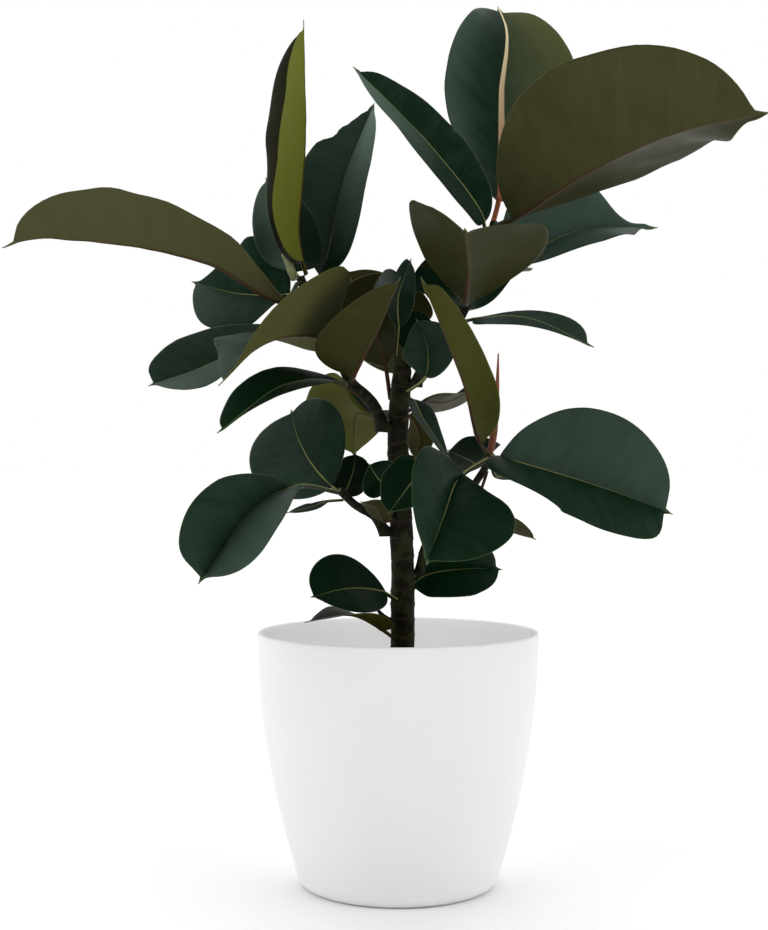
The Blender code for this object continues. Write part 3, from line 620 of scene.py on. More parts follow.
def leaf_side(name, dark, waxy, young, rib, edge, rib_width, rough, gloss, relief):
    """One side of the leaf: green between dark and waxy, which is the pale grey green of a painted
    sheen, set by the tone, which paints sheen and shade, and by painted reflection streaks; then over
    it, in turn, youth, the young colour and in places a painted glow of light, the side veins, the
    midrib, whose colour runs from base to tip, and the pale line at the margin."""
    made, tree, shader = blank(name)
    read = {key: put(tree, "ShaderNodeAttribute", attribute_name=key).outputs["Fac"]
            for key in ("across", "along", "inset", "share", "youth_and_glow", "painted_sheen_shade")}
    place = put(tree, "ShaderNodeTexCoord").outputs["Object"]
    cloud = put(tree, "ShaderNodeTexNoise", {"Vector": place, "Scale": 1 / PATCH, "Detail": 3.0})
    fine = put(tree, "ShaderNodeTexNoise", {"Vector": place, "Scale": 1 / GRAIN, "Detail": 3.0})
    out = put(tree, "ShaderNodeMath", {0: read["across"]}, operation="ABSOLUTE")
    vein, streak = side_veins(tree, read, out, cloud)

    # Painted light: the tone lightens the green towards waxy as a painted sheen, or darkens it as
    # painted shade, and the streaks add painted reflections; the cloudy patches vary it at random.
    shade = put(tree, "ShaderNodeMath", {0: cloud, 1: 0.3, 2: read["painted_sheen_shade"]}, operation="MULTIPLY_ADD")
    shade = put(tree, "ShaderNodeMath", {0: streak, 1: 0.4, 2: shade}, operation="MULTIPLY_ADD")
    shade = put(tree, "ShaderNodeMath", {0: shade, 1: 0.2}, operation="SUBTRACT")
    shade = put(tree, "ShaderNodeMath", {0: shade, 1: 0.0}, operation="MAXIMUM")
    tint = put(tree, "ShaderNodeMix", {0: shade, 6: colour(dark), 7: colour(waxy)},
               data_type="RGBA", clamp_factor=False)        # a tone over 1 paints a sheen paler still than waxy's grey green
    faint = put(tree, "ShaderNodeMath", {0: vein, 1: 0.025}, operation="MULTIPLY")
    taper = put(tree, "ShaderNodeMapRange", {"Value": read["share"], "To Min": rib_width,
                                             "To Max": 0.15 * rib_width})
    off = put(tree, "ShaderNodeMath", {0: out, 1: taper}, operation="DIVIDE")
    midrib = put(tree, "ShaderNodeMapRange", {"Value": off, "From Min": 0.35, "From Max": 0.6,
                                              "To Min": 0.9, "To Max": 0.0},
                 interpolation_type="SMOOTHSTEP")
    rib_tint = put(tree, "ShaderNodeMix", {0: read["share"], 6: colour(rib[0]), 7: colour(rib[1])},
                   data_type="RGBA")
    margin = put(tree, "ShaderNodeMapRange", {"Value": read["inset"], "From Min": 0.25 * MM,
                                              "From Max": 0.9 * MM, "To Min": 0.75, "To Max": 0.0},
                 interpolation_type="SMOOTHSTEP")
    # Youth mixes in the young colour: a young leaf's own colour, and in places a painted glow of light
    # shining through the blade.
    for amount, over in ((read["youth_and_glow"], colour(young)), (faint, colour(edge)),
                         (midrib, rib_tint.outputs[2]), (margin, colour(edge))):
        tint = put(tree, "ShaderNodeMix", {0: amount, 6: tint.outputs[2], 7: over}, data_type="RGBA")

    dull = put(tree, "ShaderNodeMapRange", {"Value": cloud, "From Min": 0.3, "From Max": 0.7,
                                            "To Min": rough - 0.05, "To Max": rough + 0.08})
    height = put(tree, "ShaderNodeMath", {0: fine, 1: 0.25, 2: vein}, operation="MULTIPLY_ADD")
    bump = put(tree, "ShaderNodeBump", {"Height": height, "Strength": relief, "Distance": 0.25 * MM})
    fill(tree, shader, {"Base Color": tint.outputs[2], "Roughness": dull, "Normal": bump,
                        "IOR": 1.45, "Specular IOR Level": gloss})
    return made


print("leaf patterns in mm:", [round(size / MM, 1) for size in (PATCH, SHEEN_STREAK, GRAIN)])

# %% Leaf sides
# A dark, smooth cuticle, whose sheen the white room brings out; its pale grey green is a painted sheen.
upper = leaf_side("leaf_upper_cuticle", "062010", "3A4B40", "1B1B0C", ("8C8A58", "6E7A4C"), "5F704A",
                  rib_width=2.0 * MM, rough=0.46, gloss=0.1, relief=0.05)
# Olive brown and duller, with a wider, browner midrib; its paler olive is a painted sheen and its
# darker one painted shade; yellow green where it is young, a colour that also paints a glow of light
# shining through the blade.
under = leaf_side("leaf_underside_matt", "292910", "4D4C2F", "6C7122", ("3E2818", "4A4028"), "6B6A42",
                  rib_width=4.0 * MM, rough=0.55, gloss=0.12, relief=0.07)
# The same cuticle with a broad midrib, red brown at the stalk and cream above; its pale grey green is a
# painted sheen, and its olive a young colour that also paints light shining through.
upper_cream = leaf_side("leaf_upper_cream_rib", "062010", "3A4B40", "4E4E22", ("8A5030", "F2E4BA"),
                        "5F704A", rib_width=11 * MM, rough=0.46, gloss=0.1, relief=0.05)
print("leaf finishes:", upper.name, under.name, upper_cream.name)

# %% [markdown]
# ## Growing a leaf
#
# A leaf is a surface of two numbers: how far along the midrib, and how far across, from -1 at
# the left margin to 1 at the right. Its half width follows a sine arch. Each half rises from
# the midrib at an angle, steepest near the midrib, and the margins wave a little. The upper and
# lower skins are 0.6 mm apart and meet at the margin. Underneath, the midrib stands out as a
# round ridge, and above it is a shallow groove. At the base the same rings close into a round
# stalk, which sinks into the bark with a swollen foot, and at the end into a drip tip.

# %% Width and fold of a blade
FOLD_FROM, FOLD_TO = 0.0025, 0.0075      # half widths between which a blade's fold sets in
TIP_RADIUS = 0.0005
OUT = np.array([0, .01, .02, .035, .055, .09, .14, .2, .28, .37, .46, .55, .64, .73, .82, .9, .96, 1])
ACROSS = np.concatenate([-OUT[:0:-1], OUT])


def outline(share, blunt, belly, taper):
    """Half the width, as a share of the widest: sin(pi (share / 0.95) ^ belly), raised to a
    power that grows from blunt at the base by taper to the tip, which draws the tip out."""
    arch = np.sin(np.pi * np.clip(share / 0.95, 0, 1) ** belly)
    return np.clip(arch, 0, 1) ** (blunt + taper * share)


def running_sum(values):
    """The integral from the midrib out to each place, by the trapezium rule."""
    steps = (values[:, 1:] + values[:, :-1]) / 2 * np.diff(OUT)
    return np.concatenate([np.zeros((len(values), 1)), np.cumsum(steps, 1)], 1)


def half_blade(share, round_half, wide, fold, blunt, belly, taper):
    """One half: how far out and up each place lies, its slope, and the half's width.

    The slope at a share s of the way out is fold * (1.35 - 0.7 s), whose mean is the fold.
    """
    half = np.hypot(wide * MM / 2 * outline(share, blunt, belly, taper), round_half)
    folded = np.clip((half - FOLD_FROM) / (FOLD_TO - FOLD_FROM), 0, 1)
    slope = np.radians(fold) * folded * (1.35 - 0.7 * OUT)
    return half * running_sum(np.cos(slope)), half * running_sum(np.sin(slope)), slope, half + 0 * slope


def bitten(share, first, last, depth, side):
    """1 everywhere, but less on one half between two shares: a torn notch with ragged steps."""
    inside = np.clip(1 - np.abs((share - (first + last) / 2) / ((last - first) / 2)), 0, 1)
    ragged = np.clip(inside * 3, 0, 1) * (1 + 0.25 * np.sin(share * 190))
    return 1 - depth * ragged * (np.sign(ACROSS) == side) * np.abs(ACROSS)**4


print("a leaf has", len(ACROSS), "places across each skin")

# %% Values that differ over a blade
def pair(value):
    """(left, right) from one value or two."""
    return value if isinstance(value, tuple) else (value, value)


def spread(value, share):
    """One value for the whole blade, or (left, right), or an even number of them from the left
    margin to the midrib and on to the right margin; a list of two such holds for base and tip."""
    rows = []
    for v in value if isinstance(value, list) else [value, value]:
        left, right = np.split(np.broadcast_to(v, max(2, np.size(v))), 2)
        rows.append(np.where(ACROSS > 0, np.interp(ACROSS, np.linspace(0, 1, len(right)), right),
                             np.interp(ACROSS, np.linspace(-1, 0, len(left)), left)))
    return rows[0] * (1 - share) + rows[1] * share


print("a pair's left and right edge:", spread((0, 1), np.zeros((1, 1)))[0, [0, -1]])

# %% Waves, midrib and stalk
WAVE, WAVE_LONG = 0.9 * MM, (0.045, 0.07)    # the margins' waves: how high, and how long
RIPPLE, RIPPLE_SIZES = 0.35 * MM, (0.03, 0.015)
WAVY_HALF = 0.05                             # a half this wide has waves of full height
BLADE_THICKNESS = 0.6 * MM
DRIP_TIP_HALF, DRIP_TIP_LONG = 0.035, 0.09   # shares of the leaf's width
GROOVE, KEEL = 0.12, 0.75                    # how much of the midrib's bulge shows on each side


def wavy(rise, at, half, flat, rng):
    """Adds the margins' waves, which grow with the cube of the way out, and finer ripples."""
    size = np.clip(half / WAVY_HALF, 0, 1) * flat
    start = rng.uniform(0, 2 * np.pi, 2)[(ACROSS > 0).astype(int)]
    waves = np.sin(2 * np.pi * at[:, None] / rng.uniform(*WAVE_LONG) + start)
    rise = rise + WAVE * size * np.abs(ACROSS)**3 * waves
    place = np.stack([ACROSS * half, at[:, None] + 0 * half, 0 * half], -1)
    return rise + RIPPLE * size * ripples(place, RIPPLE_SIZES, int(rng.integers(1e6)))


def least_half(at, share, base, blade, stalk, wide):
    """The least half width: the stalk's radius, which shrinks along the blade to the tip's, or
    in the last part the half width of the drip tip."""
    round_half = np.interp(at, [0, base, base + blade], [stalk, stalk, TIP_RADIUS])[:, None]
    to_go = (1 - share) * blade / (DRIP_TIP_LONG * wide * MM)
    drip_tip = DRIP_TIP_HALF * wide * MM * np.clip(to_go, 0, 1)
    return np.maximum(round_half, drip_tip * (share > 0.5))


def skin_heights(share, flat, half, round_half, stalk):
    """How far the two skins lie from the middle: half a circle on the stalk and half the
    thickness on the blade, both lowered along the midrib by a bell curve that thins to the tip."""
    thick = (round_half * (1 - flat) * np.sqrt(1 - ACROSS**2)
             + BLADE_THICKNESS / 2 * flat * np.sqrt(1 - ACROSS**6))
    thick = np.minimum(thick, round_half)
    bell = np.exp(-(ACROSS * half / (stalk * (1.1 - 0.8 * share)))**2)
    bulge = flat * (1 - 0.85 * share) * stalk * bell
    return thick - GROOVE * bulge, -thick - KEEL * bulge


print("drip tips are", DRIP_TIP_LONG, "of a leaf's width long")

# %% Directions and rings
def facing(curve, length, at, share, face, face_tip):
    """Along the midrib: each ring's place, the way ahead, the way its upper side faces, which
    turns evenly from face to face_tip, and the way to its right."""
    point, ahead = along(curve, length, at)
    faces = unit(np.array(face, float)) * (1 - share) + unit(np.array(face_tip, float)) * share
    normal = unit(faces - ahead * np.sum(faces * ahead, 1, keepdims=True))
    return point, ahead, normal, np.cross(ahead, normal)


def skin_ring(above, below):
    """One ring of values: the upper skin's from left to right, then the lower one's back."""
    return np.concatenate([above, below[:, -2:0:-1]], 1)


print("a leaf's ring has", 2 * len(ACROSS) - 2, "points")

# %% A leaf from its midrib
STALK_RINGS = 9
STALK_LEAST, STALK_SHARE = 0.0012, 0.008                # a stalk's radius grows with the width
LARGE_WIDTH, RINGS_LARGE, RINGS_SMALL = 60, 54, 32      # mm; wide leaves get more rings
NO_MARGIN = 9                                           # metres in: a stalk has no pale edge


def leaf(name, stem, rib, wide, face, fold=10, blunt=0.62, belly=1.0, taper=0, sweep=0,
         face_tip=None, youth_and_glow=0.0, painted_sheen_shade=0.2, bite=None, looks=(upper, under)):
    """A whole leaf, from its midrib in mm, its flat width in mm and the way its upper side faces.

    fold is in degrees; blunt, belly and taper shape the outline; sweep leans the margins towards the
    tip, as a share of the half width; face_tip is the way the tip's upper side faces; youth, the young
    colour and in places a painted glow of light through the blade, and tone, painted sheen and painted
    shade, may differ over the blade; bite is a torn notch; looks are its two sides' materials.
    """
    rng = np.random.default_rng(zlib.crc32(name.encode()))
    rib = mm(rib)
    stalk = STALK_LEAST + STALK_SHARE * wide * MM
    rib[0], root = stem.seat(rib[0], rib[1], stalk)
    curve, length = smooth_path(rib)
    base = length[np.argmin(np.linalg.norm(curve - rib[1], axis=1))]
    blade = length[-1] - base
    even = np.linspace(0, 1, RINGS_LARGE if wide >= LARGE_WIDTH else RINGS_SMALL)
    at = np.concatenate([np.linspace(0, base, STALK_RINGS, endpoint=False),
                         base + blade * (0.5 - 0.5 * np.cos(np.pi * even))])
    share = np.clip((at - base) / blade, 0, 1)[:, None]
    flat = np.clip(share * 8, 0, 1)                  # 0 on the round stalk, 1 on the thin blade

    point, ahead, normal, right = facing(curve, length, at, share, face, face_tip or face)
    round_half = least_half(at, share, base, blade, stalk, wide)
    halves = [half_blade(share, round_half, wide, *(pair(v)[k] for v in (fold, blunt, belly, taper)))
              for k in (0, 1)]
    join = [np.concatenate([a[:, :0:-1], b], 1) for a, b in zip(*halves)]
    out, rise, slope, half = join[0] * np.sign(ACROSS), *join[1:]
    if bite:
        out = out * bitten(share, *bite)
    lean = np.where(ACROSS > 0, pair(sweep)[1], pair(sweep)[0]) * ACROSS**2 * (half - round_half)
    rise = wavy(rise, at, half, flat, rng)
    skins = []
    for lift in skin_heights(share, flat, half, round_half, stalk):
        o = out - np.sign(ACROSS) * lift * np.sin(slope)
        r = rise + lift * np.cos(slope)
        skins.append(point[:, None] + right[:, None] * o[..., None] + normal[:, None] * r[..., None]
                     + ahead[:, None] * lean[..., None])
    rings = skin_ring(*skins)
    heel = [(root * (1 - u) + point[0] * u) + (rings[0] - point[0]) * (1.5 - 0.5 * u)
            for u in (0.3, 0.75)]                    # two wider rings, sunk into the bark
    rings = np.concatenate([heel, rings])

    measures = {"across": ACROSS * half, "along": at[:, None] - base + 0 * half,
                "inset": (1 - np.abs(ACROSS)) * half + NO_MARGIN * (share == 0),
                "share": share + 0 * half, "youth_and_glow": spread(youth_and_glow, share), "painted_sheen_shade": spread(painted_sheen_shade, share)}
    measures = {k: skin_ring(v, v)[[0, 0, *range(len(v))]] for k, v in measures.items()}
    uv = np.stack([measures["across"], measures["along"]], -1)
    look_of = (np.arange(rings.shape[1]) >= len(ACROSS) - 1).astype(int)
    return sew(name + "_grown", rings, root, point[-1] + TIP_RADIUS * ahead[-1], looks, name,
               measures, look_of, uv)


print("a large leaf has", 2 + STALK_RINGS + RINGS_LARGE, "rings")

# %% [markdown]
# ## The crown of the right branch
#
# Seven leaves. The largest turns its olive underside to the front, an upright one shows a broad
# cream midrib, and a cupped one below them hangs like an open book.

# %% Right crown
stem = stems["branch_right"]
leaf("leaf_right_front", stem,
     [(93, -20, 586), (102, -30, 591), (161, -90, 621), (228, -160, 640), (283, -200, 644)], 186,
     (-0.45, 0.85, 0.35), fold=(31, 21), blunt=(0.77, 0.61), belly=(0.7, 0.95), taper=(0.4, 0),
     sweep=(0.35, 0), painted_sheen_shade=(-0.1, 0.35))
leaf("leaf_right_upright", stem,
     [(89, 5, 593), (91, 8, 613), (94, 22, 647), (96, 45, 721), (103, 75, 788), (97, 95, 815)], 144,
     (0.4, -0.9, 0), fold=(17, 14), blunt=0.45, belly=(0.85, 1.05), taper=(0.05, 0), sweep=(0, 0.35),
     looks=(upper_cream, under), painted_sheen_shade=(0.9, 0, -0.2, 0.2, 0.4, 0.5),
     youth_and_glow=[(0, 0, 0, 0.3), (0, 0, 0.4, 0.9)])
leaf("leaf_right_inner", stem, [(80, -5, 580), (76, -14, 590), (35, -31, 646), (-39, -56, 717)], 71,
     (0.35, -0.75, 0.5), fold=(19, 7), blunt=(0.48, 0.61), belly=(0.7, 0.95), taper=(-0.05, -0.25),
     sweep=(0, -0.3), painted_sheen_shade=[(-1.1, -0.15), (1.7, -0.1)])
leaf("leaf_right_back", stem, [(92, 10, 578), (85, 20, 560), (174, 60, 595), (248, 80, 600)], 137,
     (0, -0.75, 0.65), fold=(34, 32), blunt=(1.1, 0.72), belly=(0.9, 1.2), taper=(1.6, 0.85),
     sweep=(0.2, 0.15), painted_sheen_shade=(0.85, 0.3))
leaf("leaf_right_cupped", stem, [(71, -15, 521), (60, -28, 516), (58, -100, 537), (51, -170, 560)], 150,
     (0.35, 0.5, 0.8), fold=(45, 28), blunt=(0.89, 0.45), belly=(0.95, 0.85), taper=(-0.1, 0.1),
     sweep=(0.05, 0.2), painted_sheen_shade=(-0.4, -0.6), youth_and_glow=0.05)
leaf("leaf_right_hidden", stem, [(72, 2, 512), (59, 10, 515), (71, 60, 554), (53, 100, 602)], 112,
     (0.1, 0.3, 1), fold=(22, 11), blunt=(0.82, 0.6), belly=(0.65, 1.1), taper=(0.2, 0.1),
     sweep=(-0.15, 0.15), painted_sheen_shade=-0.1)
leaf("leaf_right_low", stem, [(61, -4, 502), (67, -10, 504), (110, -30, 504), (169, -50, 476)], 43,
     (-0.2, -0.5, 0.85), fold=(1, 6), blunt=(0.73, 0.87), belly=(1.75, 0.6), taper=(0.3, 0.85),
     sweep=(0.5, -0.35), painted_sheen_shade=0.3)
print("right crown grown")

# %% [markdown]
# ## The crown of the left branch
#
# Nine leaves. The long one reaches far out to the left, the youngest still stands upright and is yellow
# green, partly its young colour and partly a painted glow of light through it, and the one behind it
# has a torn edge.

# %% Left crown
stem = stems["branch_left"]
leaf("leaf_left_long", stem,
     [(-89, -18, 535), (-97, -28, 520), (-165, -50, 548), (-257, -70, 564), (-320, -85, 562),
      (-334, -85, 557)], 104, (-0.3, 0.15, 0.95), fold=(40, 26), blunt=(0.45, 0.36), belly=(1.75, 1.55),
     taper=(0.1, -0.3), sweep=(0, 0.2), painted_sheen_shade=0.75)
leaf("leaf_left_young", stem, [(-85, -12, 543), (-85, -14, 555), (-83, -10, 668), (-85, 0, 774)], 99,
     (-1.15, -0.05, -0.1), fold=(47, 27), blunt=(0.36, 0.59), belly=(1.15, 0.6), taper=(0.15, -0.05),
     painted_sheen_shade=0, youth_and_glow=(1, 0.9))
leaf("leaf_left_torn", stem, [(-72, 5, 527), (-70, 18, 546), (-48, 60, 649), (-22, 95, 722)], 85,
     (0.15, -0.9, -0.05), fold=(2, 65), blunt=(0.67, 0.37), belly=(1.1, 0.7), taper=(0.2, 0.25),
     sweep=(-0.25, -0.15), painted_sheen_shade=[(0.4, -0.3), (0.4, 2.6)], bite=(0.7, 0.92, 0.2, -1))
leaf("leaf_left_behind", stem, [(-90, 5, 543), (-94, 12, 550), (-105, 22, 597), (-122, 40, 640)], 63,
     (0.15, -0.85, 0.5), fold=(8, 1), blunt=(0.68, 0.45), belly=(0.8, 0.65), taper=(-0.05, 0.05),
     sweep=(-0.1, -0.15), painted_sheen_shade=(1.3, 0))
leaf("leaf_left_dark", stem, [(-88, 2, 524), (-101, 32, 530), (-154, 65, 536), (-196, 84, 549)], 113,
     (0.15, -0.95, 0.25), fold=(26, 13), blunt=(0.56, 0.69), belly=(1.25, 0.75), taper=(0.1, 0.5),
     sweep=(-0.2, 0.2), painted_sheen_shade=[(-0.3, -0.2), (0.6, 0.2)])
leaf("leaf_left_low", stem, [(-78, -15, 510), (-105, 6, 498), (-176, -16, 460), (-218, -40, 443)], 84,
     (0.05, -0.65, 0.8), fold=(17, 9), blunt=(0.87, 0.68), belly=(2.3, 1.15), taper=(-0.25, -0.3),
     sweep=(0.25, 0.1), painted_sheen_shade=(1.2, 0.1))
leaf("leaf_left_front", stem,
     [(-53, -25, 474), (-59, -28, 476), (-86, -75, 484), (-114, -115, 472), (-146, -140, 438)], 143,
     (-0.35, 0.1, 0.9), fold=(28, 24), blunt=(1.1, 0.49), belly=(0.95, 0.85), taper=(1.6, 0.2),
     sweep=(-0.3, -0.05), painted_sheen_shade=0.6, youth_and_glow=0.15)
leaf("leaf_left_cupped", stem, [(-45, -20, 447), (-38, -60, 451), (-18, -90, 487), (1, -108, 529)], 90,
     (-0.7, 0.3, 0.6), fold=(33, 50), blunt=(0.32, 0.81), belly=(0.9, 0.75), taper=(-0.35, -0.2),
     sweep=(-0.55, -0.25), painted_sheen_shade=-0.1, youth_and_glow=0.05)
leaf("leaf_left_arching", stem, [(-34, -17, 439), (-46, -30, 443), (-93, -80, 443), (-148, -130, 400)],
     63, (0.1, -0.05, 0.95), fold=(1, 16), blunt=(0.95, 0.53), belly=(0.65, 0.75), taper=(1.25, 0.05),
     sweep=(0.1, 0.4), painted_sheen_shade=-0.2)
print("left crown grown")

# %% [markdown]
# ## The leaves round the trunk
#
# Small and middling leaves fill the middle, where less light reaches; their tones also paint shade on
# them, so they are the darkest. Two of them show pale undersides.

# %% Middle leaves
stem = stems["trunk"]
leaf("leaf_middle_back", stem, [(0, 8, 433), (-11, 12, 463), (-19, 40, 498), (9, 70, 556)], 87,
     (-0.15, 0.85, -0.25), fold=0, blunt=(0.75, 0.54), belly=(1.2, 0.95), taper=(0.1, 0.15),
     sweep=(0.5, 0.2), painted_sheen_shade=-0.6)
leaf("leaf_middle_dark", stem, [(6, 6, 464), (11, 10, 475), (26, 17, 492), (38, 21, 498)], 61,
     (0, -0.95, 0.3), fold=(10, 9), sweep=0.05, painted_sheen_shade=-0.4)
leaf("leaf_middle_creased", stem, [(9, -8, 441), (24, -22, 452), (26, -25, 475), (16, -30, 502)], 56,
     (0, -1, 0.2), fold=30, blunt=(0.62, 0.63), taper=(0, -0.05), sweep=(0, 0.05), painted_sheen_shade=0.2)
leaf("leaf_middle_small", stem, [(4, 5, 476), (0, 6, 498), (0, 2, 524), (12, 4, 560)], 42,
     (0.65, -0.5, -0.55), fold=(9, 12), blunt=(0.46, 0.55), taper=(-0.1, 0), sweep=(0.25, 0),
     painted_sheen_shade=[-0.5, 0.3])
leaf("leaf_middle_left", stem, [(4, 10, 448), (6, 82, 467), (-25, 125, 523), (-51, 150, 570)], 87,
     (0.2, 0.9, 0.4), fold=(18, 8), blunt=(0.54, 0.57), belly=1.1, taper=(0, -0.2), sweep=(0, 0.3),
     painted_sheen_shade=-0.1)
leaf("leaf_trunk_arching", stem, [(1, -12, 432), (13, -26, 431), (21, -42, 415), (45, -54, 378)], 32,
     (0.35, -0.45, 0.75), fold=(3, 19), blunt=(0.62, 0.57), belly=(0.6, 1), taper=(0.2, -0.4),
     sweep=(-0.1, 0), painted_sheen_shade=0)
leaf("leaf_trunk_right", stem, [(6, 10, 422), (22, 20, 431), (43, 45, 432), (78, 70, 448)], 52,
     (0, 0.5, 0.85), fold=(2, 4), blunt=0.34, belly=(0.95, 0.9), taper=(-0.35, 0.55), sweep=(0.1, 0.5))
leaf("leaf_trunk_narrow", stem, [(3, -12, 414), (10, -20, 417), (19, -35, 398), (14, -45, 379)], 26,
     (0.3, 0.95, 0.2))
leaf("leaf_trunk_hanging", stem, [(2, 8, 428), (-10, 25, 418), (-38, 70, 422), (-42, 110, 382)], 95,
     (-0.25, 0.8, 0.55), fold=(12, 15), blunt=(0.6, 0.79), belly=(0.75, 0.9), taper=(0.35, 0.05),
     sweep=(0.5, 0.25), youth_and_glow=0.4, painted_sheen_shade=0.35)
leaf("leaf_trunk_front", stem, [(2, -13, 377), (24, -25, 377), (7, -45, 353), (-9, -60, 332)], 57,
     (0.35, 0, 0.95), fold=(6, 9), blunt=(0.7, 0.74), belly=(1.05, 0.7), taper=(0.15, -0.35),
     sweep=(0, -0.1), painted_sheen_shade=-0.3)
print("middle leaves grown")

# %% [markdown]
# ## The low branches and the trunk's foot
#
# The low right branch carries the two broad leaves that face the front, and one that stands
# on edge. The low left branch has two more broad ones, and five small leaves sit on the trunk.

# %% Low leaves on the right
stem = stems["branch_low_right"]
leaf("leaf_low_right_tall", stem, [(82, -14, 382), (72, -25, 394), (56, -70, 441), (18, -110, 529)], 60,
     (0.7, 0.65, 0.35), fold=(69, 43), blunt=(0.56, 0.89), belly=(0.65, 1.3), taper=(-0.3, 0.25),
     sweep=(-0.25, -0.5), youth_and_glow=0.2, painted_sheen_shade=-0.15)
leaf("leaf_low_right_large", stem,
     [(87, -14, 379), (90, -27, 380), (140, -42, 366), (197, -58, 347), (234, -66, 332)], 129,
     (-0.3, -0.75, 0.65), fold=(22, 38), blunt=(0.57, 0.45), belly=(1, 0.75), taper=(-0.15, -0.2),
     sweep=(0.05, 0.3), face_tip=(0.05, -1, 0.1), painted_sheen_shade=(0.7, 0))
leaf("leaf_low_right_front", stem, [(83, -16, 377), (55, -45, 365), (37, -105, 332), (21, -160, 295)],
     121, (0.4, -0.45, 0.8), fold=(21, 44), blunt=0.63, belly=(1.05, 0.8), taper=(-0.1, 0),
     sweep=(0.15, 0.35), painted_sheen_shade=[(-0.3, -0.3), (-0.1, 0.2)])
leaf("leaf_low_right_inner", stem, [(78, 0, 377), (75, 10, 374), (65, 35, 379), (47, 60, 388)], 60,
     (-0.1, -0.9, 0.45), fold=(5, 4), blunt=(0.62, 0.41), belly=(0.95, 0.6), taper=(0, -0.2), painted_sheen_shade=0)
leaf("leaf_low_right_small", stem, [(85, 0, 375), (88, 12, 364), (108, 35, 366), (127, 60, 355)], 38,
     (0, -0.75, 0.65), fold=(10, 11), blunt=(0.66, 0.79), belly=(1.05, 1.2), taper=0.1,
     sweep=(-0.05, 0.25))
leaf("leaf_low_right_back", stem, [(81, 0, 368), (71, 20, 324), (92, 42, 322), (130, 60, 304)], 29,
     (0.55, 0.65, 0.4), fold=(8, 3), blunt=(0.63, 0.76), belly=(0.75, 0.95), taper=(0.3, -0.25),
     sweep=(0.1, -0.05))
print("low right leaves grown")

# %% Low leaves on the left
stem = stems["branch_low_left"]
leaf("leaf_low_left_large", stem,
     [(-53, -18, 351), (-83, -50, 356), (-125, -110, 334), (-161, -150, 279)], 102, (-0.15, -0.75, 0.6),
     fold=(24, 70), blunt=(0.46, 0.74), belly=(1.9, 2.05), taper=(0.05, -0.4), sweep=(0.15, 0.3),
     painted_sheen_shade=(0.8, 0.15))
leaf("leaf_low_left_round", stem, [(-54, -14, 354), (-59, -5, 355), (-90, 30, 395), (-100, 60, 426)],
     105, (-0.6, -0.55, 0.5), fold=(19, 13), blunt=(0.52, 0.43), belly=(0.9, 0.6), taper=(-0.15, 0),
     sweep=(0.1, 0.25), painted_sheen_shade=(0.3, 0))
leaf("leaf_low_left_small", stem, [(-48, -5, 352), (-50, 5, 346), (-41, 30, 368), (-39, 50, 385)], 35,
     (0, -0.85, 0.5), fold=(10, 9), blunt=(0.57, 0.59), belly=(1.05, 0.95), taper=(-0.1, -0.15),
     sweep=(0, -0.2), painted_sheen_shade=-0.1)
leaf("leaf_low_left_pointed", stem,
     [(-47, -14, 345), (-62, -20, 342), (-74, -45, 338), (-96, -60, 333)], 14, (-0.1, -0.55, 0.8),
     fold=5, blunt=(0.57, 0.6), taper=(-0.05, 0.05), sweep=(0.2, 0))
print("low left leaves grown")

# %% Leaves on the trunk's foot
stem = stems["trunk"]
leaf("leaf_foot_inner", stem, [(-4, -10, 343), (-9, -14, 351), (-18, -20, 362), (-26, -26, 375)], 41,
     (-0.05, -0.85, 0.55), fold=(9, 7), blunt=(0.69, 0.58), belly=(0.95, 1.05), taper=(0.15, 0),
     sweep=(0, 0.05), painted_sheen_shade=-0.15)
leaf("leaf_foot_narrow", stem, [(-4, -10, 325), (-10, -16, 324), (-21, -30, 338), (-33, -40, 342)], 26,
     (0, 0.35, 0.95), fold=(11, 10))
leaf("leaf_foot_left", stem, [(-4, -12, 254), (-12, -25, 261), (-43, -60, 268), (-74, -90, 263)], 70,
     (0, -0.9, 0.65), fold=(12, 8), blunt=(0.44, 0.59), belly=(1.25, 0.9), taper=(0.2, -0.05),
     sweep=(0.1, 0.2), painted_sheen_shade=-0.3)
leaf("leaf_foot_lowest", stem, [(-5, -10, 220), (-14, -20, 228), (-42, -50, 244), (-80, -80, 241)], 55,
     (0, 0.15, 1), fold=(0, 20), blunt=(0.59, 0.86), belly=(0.95, 0.7), taper=(0.2, 0.05),
     sweep=(-0.45, -0.1), painted_sheen_shade=-0.3, youth_and_glow=0.5)
leaf("leaf_foot_right", stem, [(13, 4, 263), (13, 12, 265), (68, 30, 279), (97, 45, 277)], 59,
     (0.55, -0.65, 0.45), fold=(56, 8), blunt=(0.59, 0.3), belly=(1.25, 1.3), taper=(0.35, 0.1),
     sweep=(0.1, -0.3), painted_sheen_shade=-0.2)
print("leaves on the trunk's foot grown")

# %% [markdown]
# ## Buds and a twig
#
# A rubber plant wraps each new leaf in a rolled red sheath that stands like a horn. A pale
# green one has just started on the left branch, a long red one stands on the low right branch,
# and a dry brown stub sits low on the trunk. Each is a round shoot whose radius changes along it.

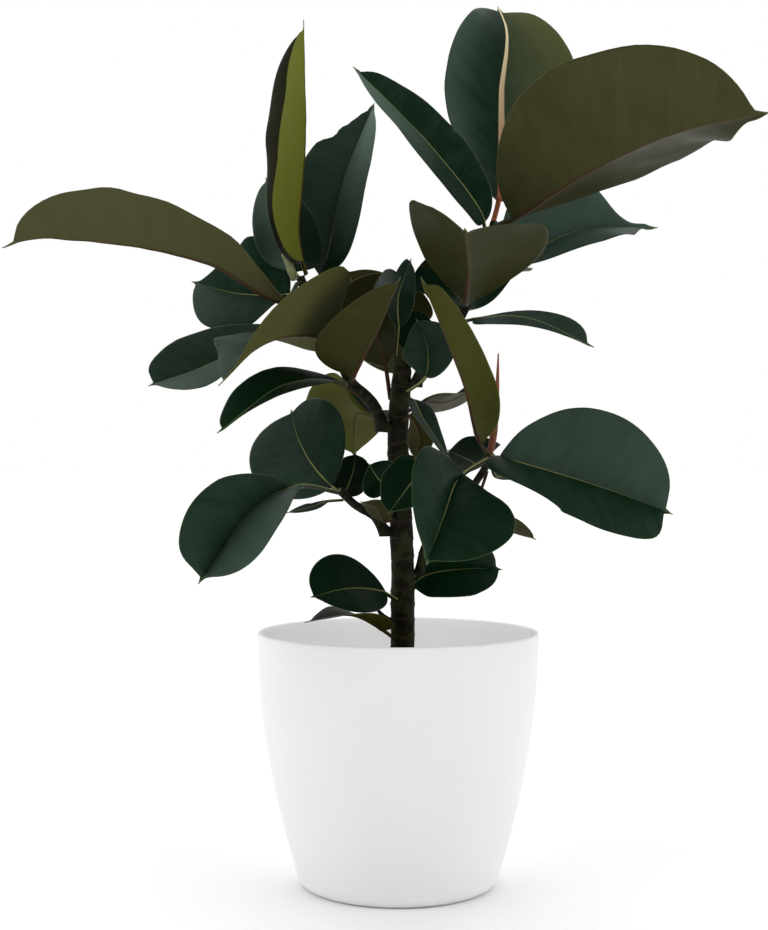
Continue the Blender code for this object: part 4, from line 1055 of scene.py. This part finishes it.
# %% Sheath finish
def sheath(name, low, high, rough):
    """A rolled leaf sheath: thin, waxy, with fine streaks along it, and satin."""
    made, tree, shader = blank(name)
    share = put(tree, "ShaderNodeAttribute", attribute_name="share").outputs["Fac"]
    place = put(tree, "ShaderNodeTexCoord").outputs["Object"]
    long = put(tree, "ShaderNodeMapping", {"Vector": place, "Scale": (1, 1, 0.15)})
    streak = put(tree, "ShaderNodeTexNoise", {"Vector": long, "Scale": 1 / (1.2 * MM), "Detail": 3.0})
    blend = put(tree, "ShaderNodeMath", {0: streak, 1: 0.5, 2: share}, operation="MULTIPLY_ADD")
    tint = put(tree, "ShaderNodeMix", {0: blend, 6: colour(low), 7: colour(high)}, data_type="RGBA")
    dull = put(tree, "ShaderNodeMapRange", {"Value": streak, "To Min": rough, "To Max": rough + 0.2})
    bump = put(tree, "ShaderNodeBump", {"Height": streak, "Strength": 0.4, "Distance": 0.2 * MM})
    fill(tree, shader, {"Base Color": tint.outputs[2], "Roughness": dull, "Normal": bump})
    return made


green_sheath = sheath("bud_sheath_green", "6E7440", "A9B080", 0.4)
red_sheath = sheath("bud_sheath_red", "4A2A1C", "94553A", 0.4)
print("sheath finishes:", green_sheath.name, red_sheath.name)

# %% Shoots
SHOOT_SIDES, SHOOT_RINGS = 24, 44


def shoot(name, stem, points, radii, look):
    """A round shoot on a stem: its radius runs evenly from one given value to the next, creased
    by three shallow folds that turn slowly round it."""
    points = mm(points)
    points[0], root = stem.seat(points[0], points[1], radii[0] * MM)
    curve, length = smooth_path(points)
    at = np.linspace(0, length[-1], SHOOT_RINGS)
    point, ahead = along(curve, length, at)
    size = np.interp(at / length[-1], np.linspace(0, 1, len(radii)), np.array(radii) * MM)[:, None]
    ring, turn = circles(ahead, SHOOT_SIDES)
    size = size * (1 + 0.04 * np.cos(3 * turn + at[:, None] / (8 * MM)))
    rings = point[:, None] + ring * size[..., None]
    rings = np.concatenate([[root + (rings[0] - point[0]) * 1.2], rings])
    share = np.concatenate([[0], at / length[-1]])[:, None] + np.zeros(SHOOT_SIDES)
    tip = point[-1] + 0.4 * radii[-1] * MM * ahead[-1]
    return sew(name + "_grown", rings, root, tip, [look], name,
               {"share": share, "scar": 0 * share})


shoot("bud_left", stems["branch_left"], [(-87, -12, 540), (-96, -13, 549), (-103, -17, 561)],
      (2.5, 4, 2.5, 0.8), green_sheath)
shoot("bud_low_right", stems["branch_low_right"],
      [(83, 0, 384), (85, 4, 395), (89, 8, 430), (91, 10, 475)], (3, 3.5, 2.5, 1.6, 0.6), red_sheath)
shoot("twig_foot", stems["trunk"], [(-6, -4, 236), (-14, -8, 240), (-20, -12, 247)], (1.6, 1.8, 1.4),
      fig_bark)
print("buds and twig grown")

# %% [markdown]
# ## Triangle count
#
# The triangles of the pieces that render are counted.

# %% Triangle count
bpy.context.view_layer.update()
pieces = [o for o in bpy.data.objects
          if o.type == "MESH" and not o.hide_render and not o.get("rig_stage")]
print("triangles:", sum(sum(len(p.vertices) - 2 for p in o.data.polygons) for o in pieces))
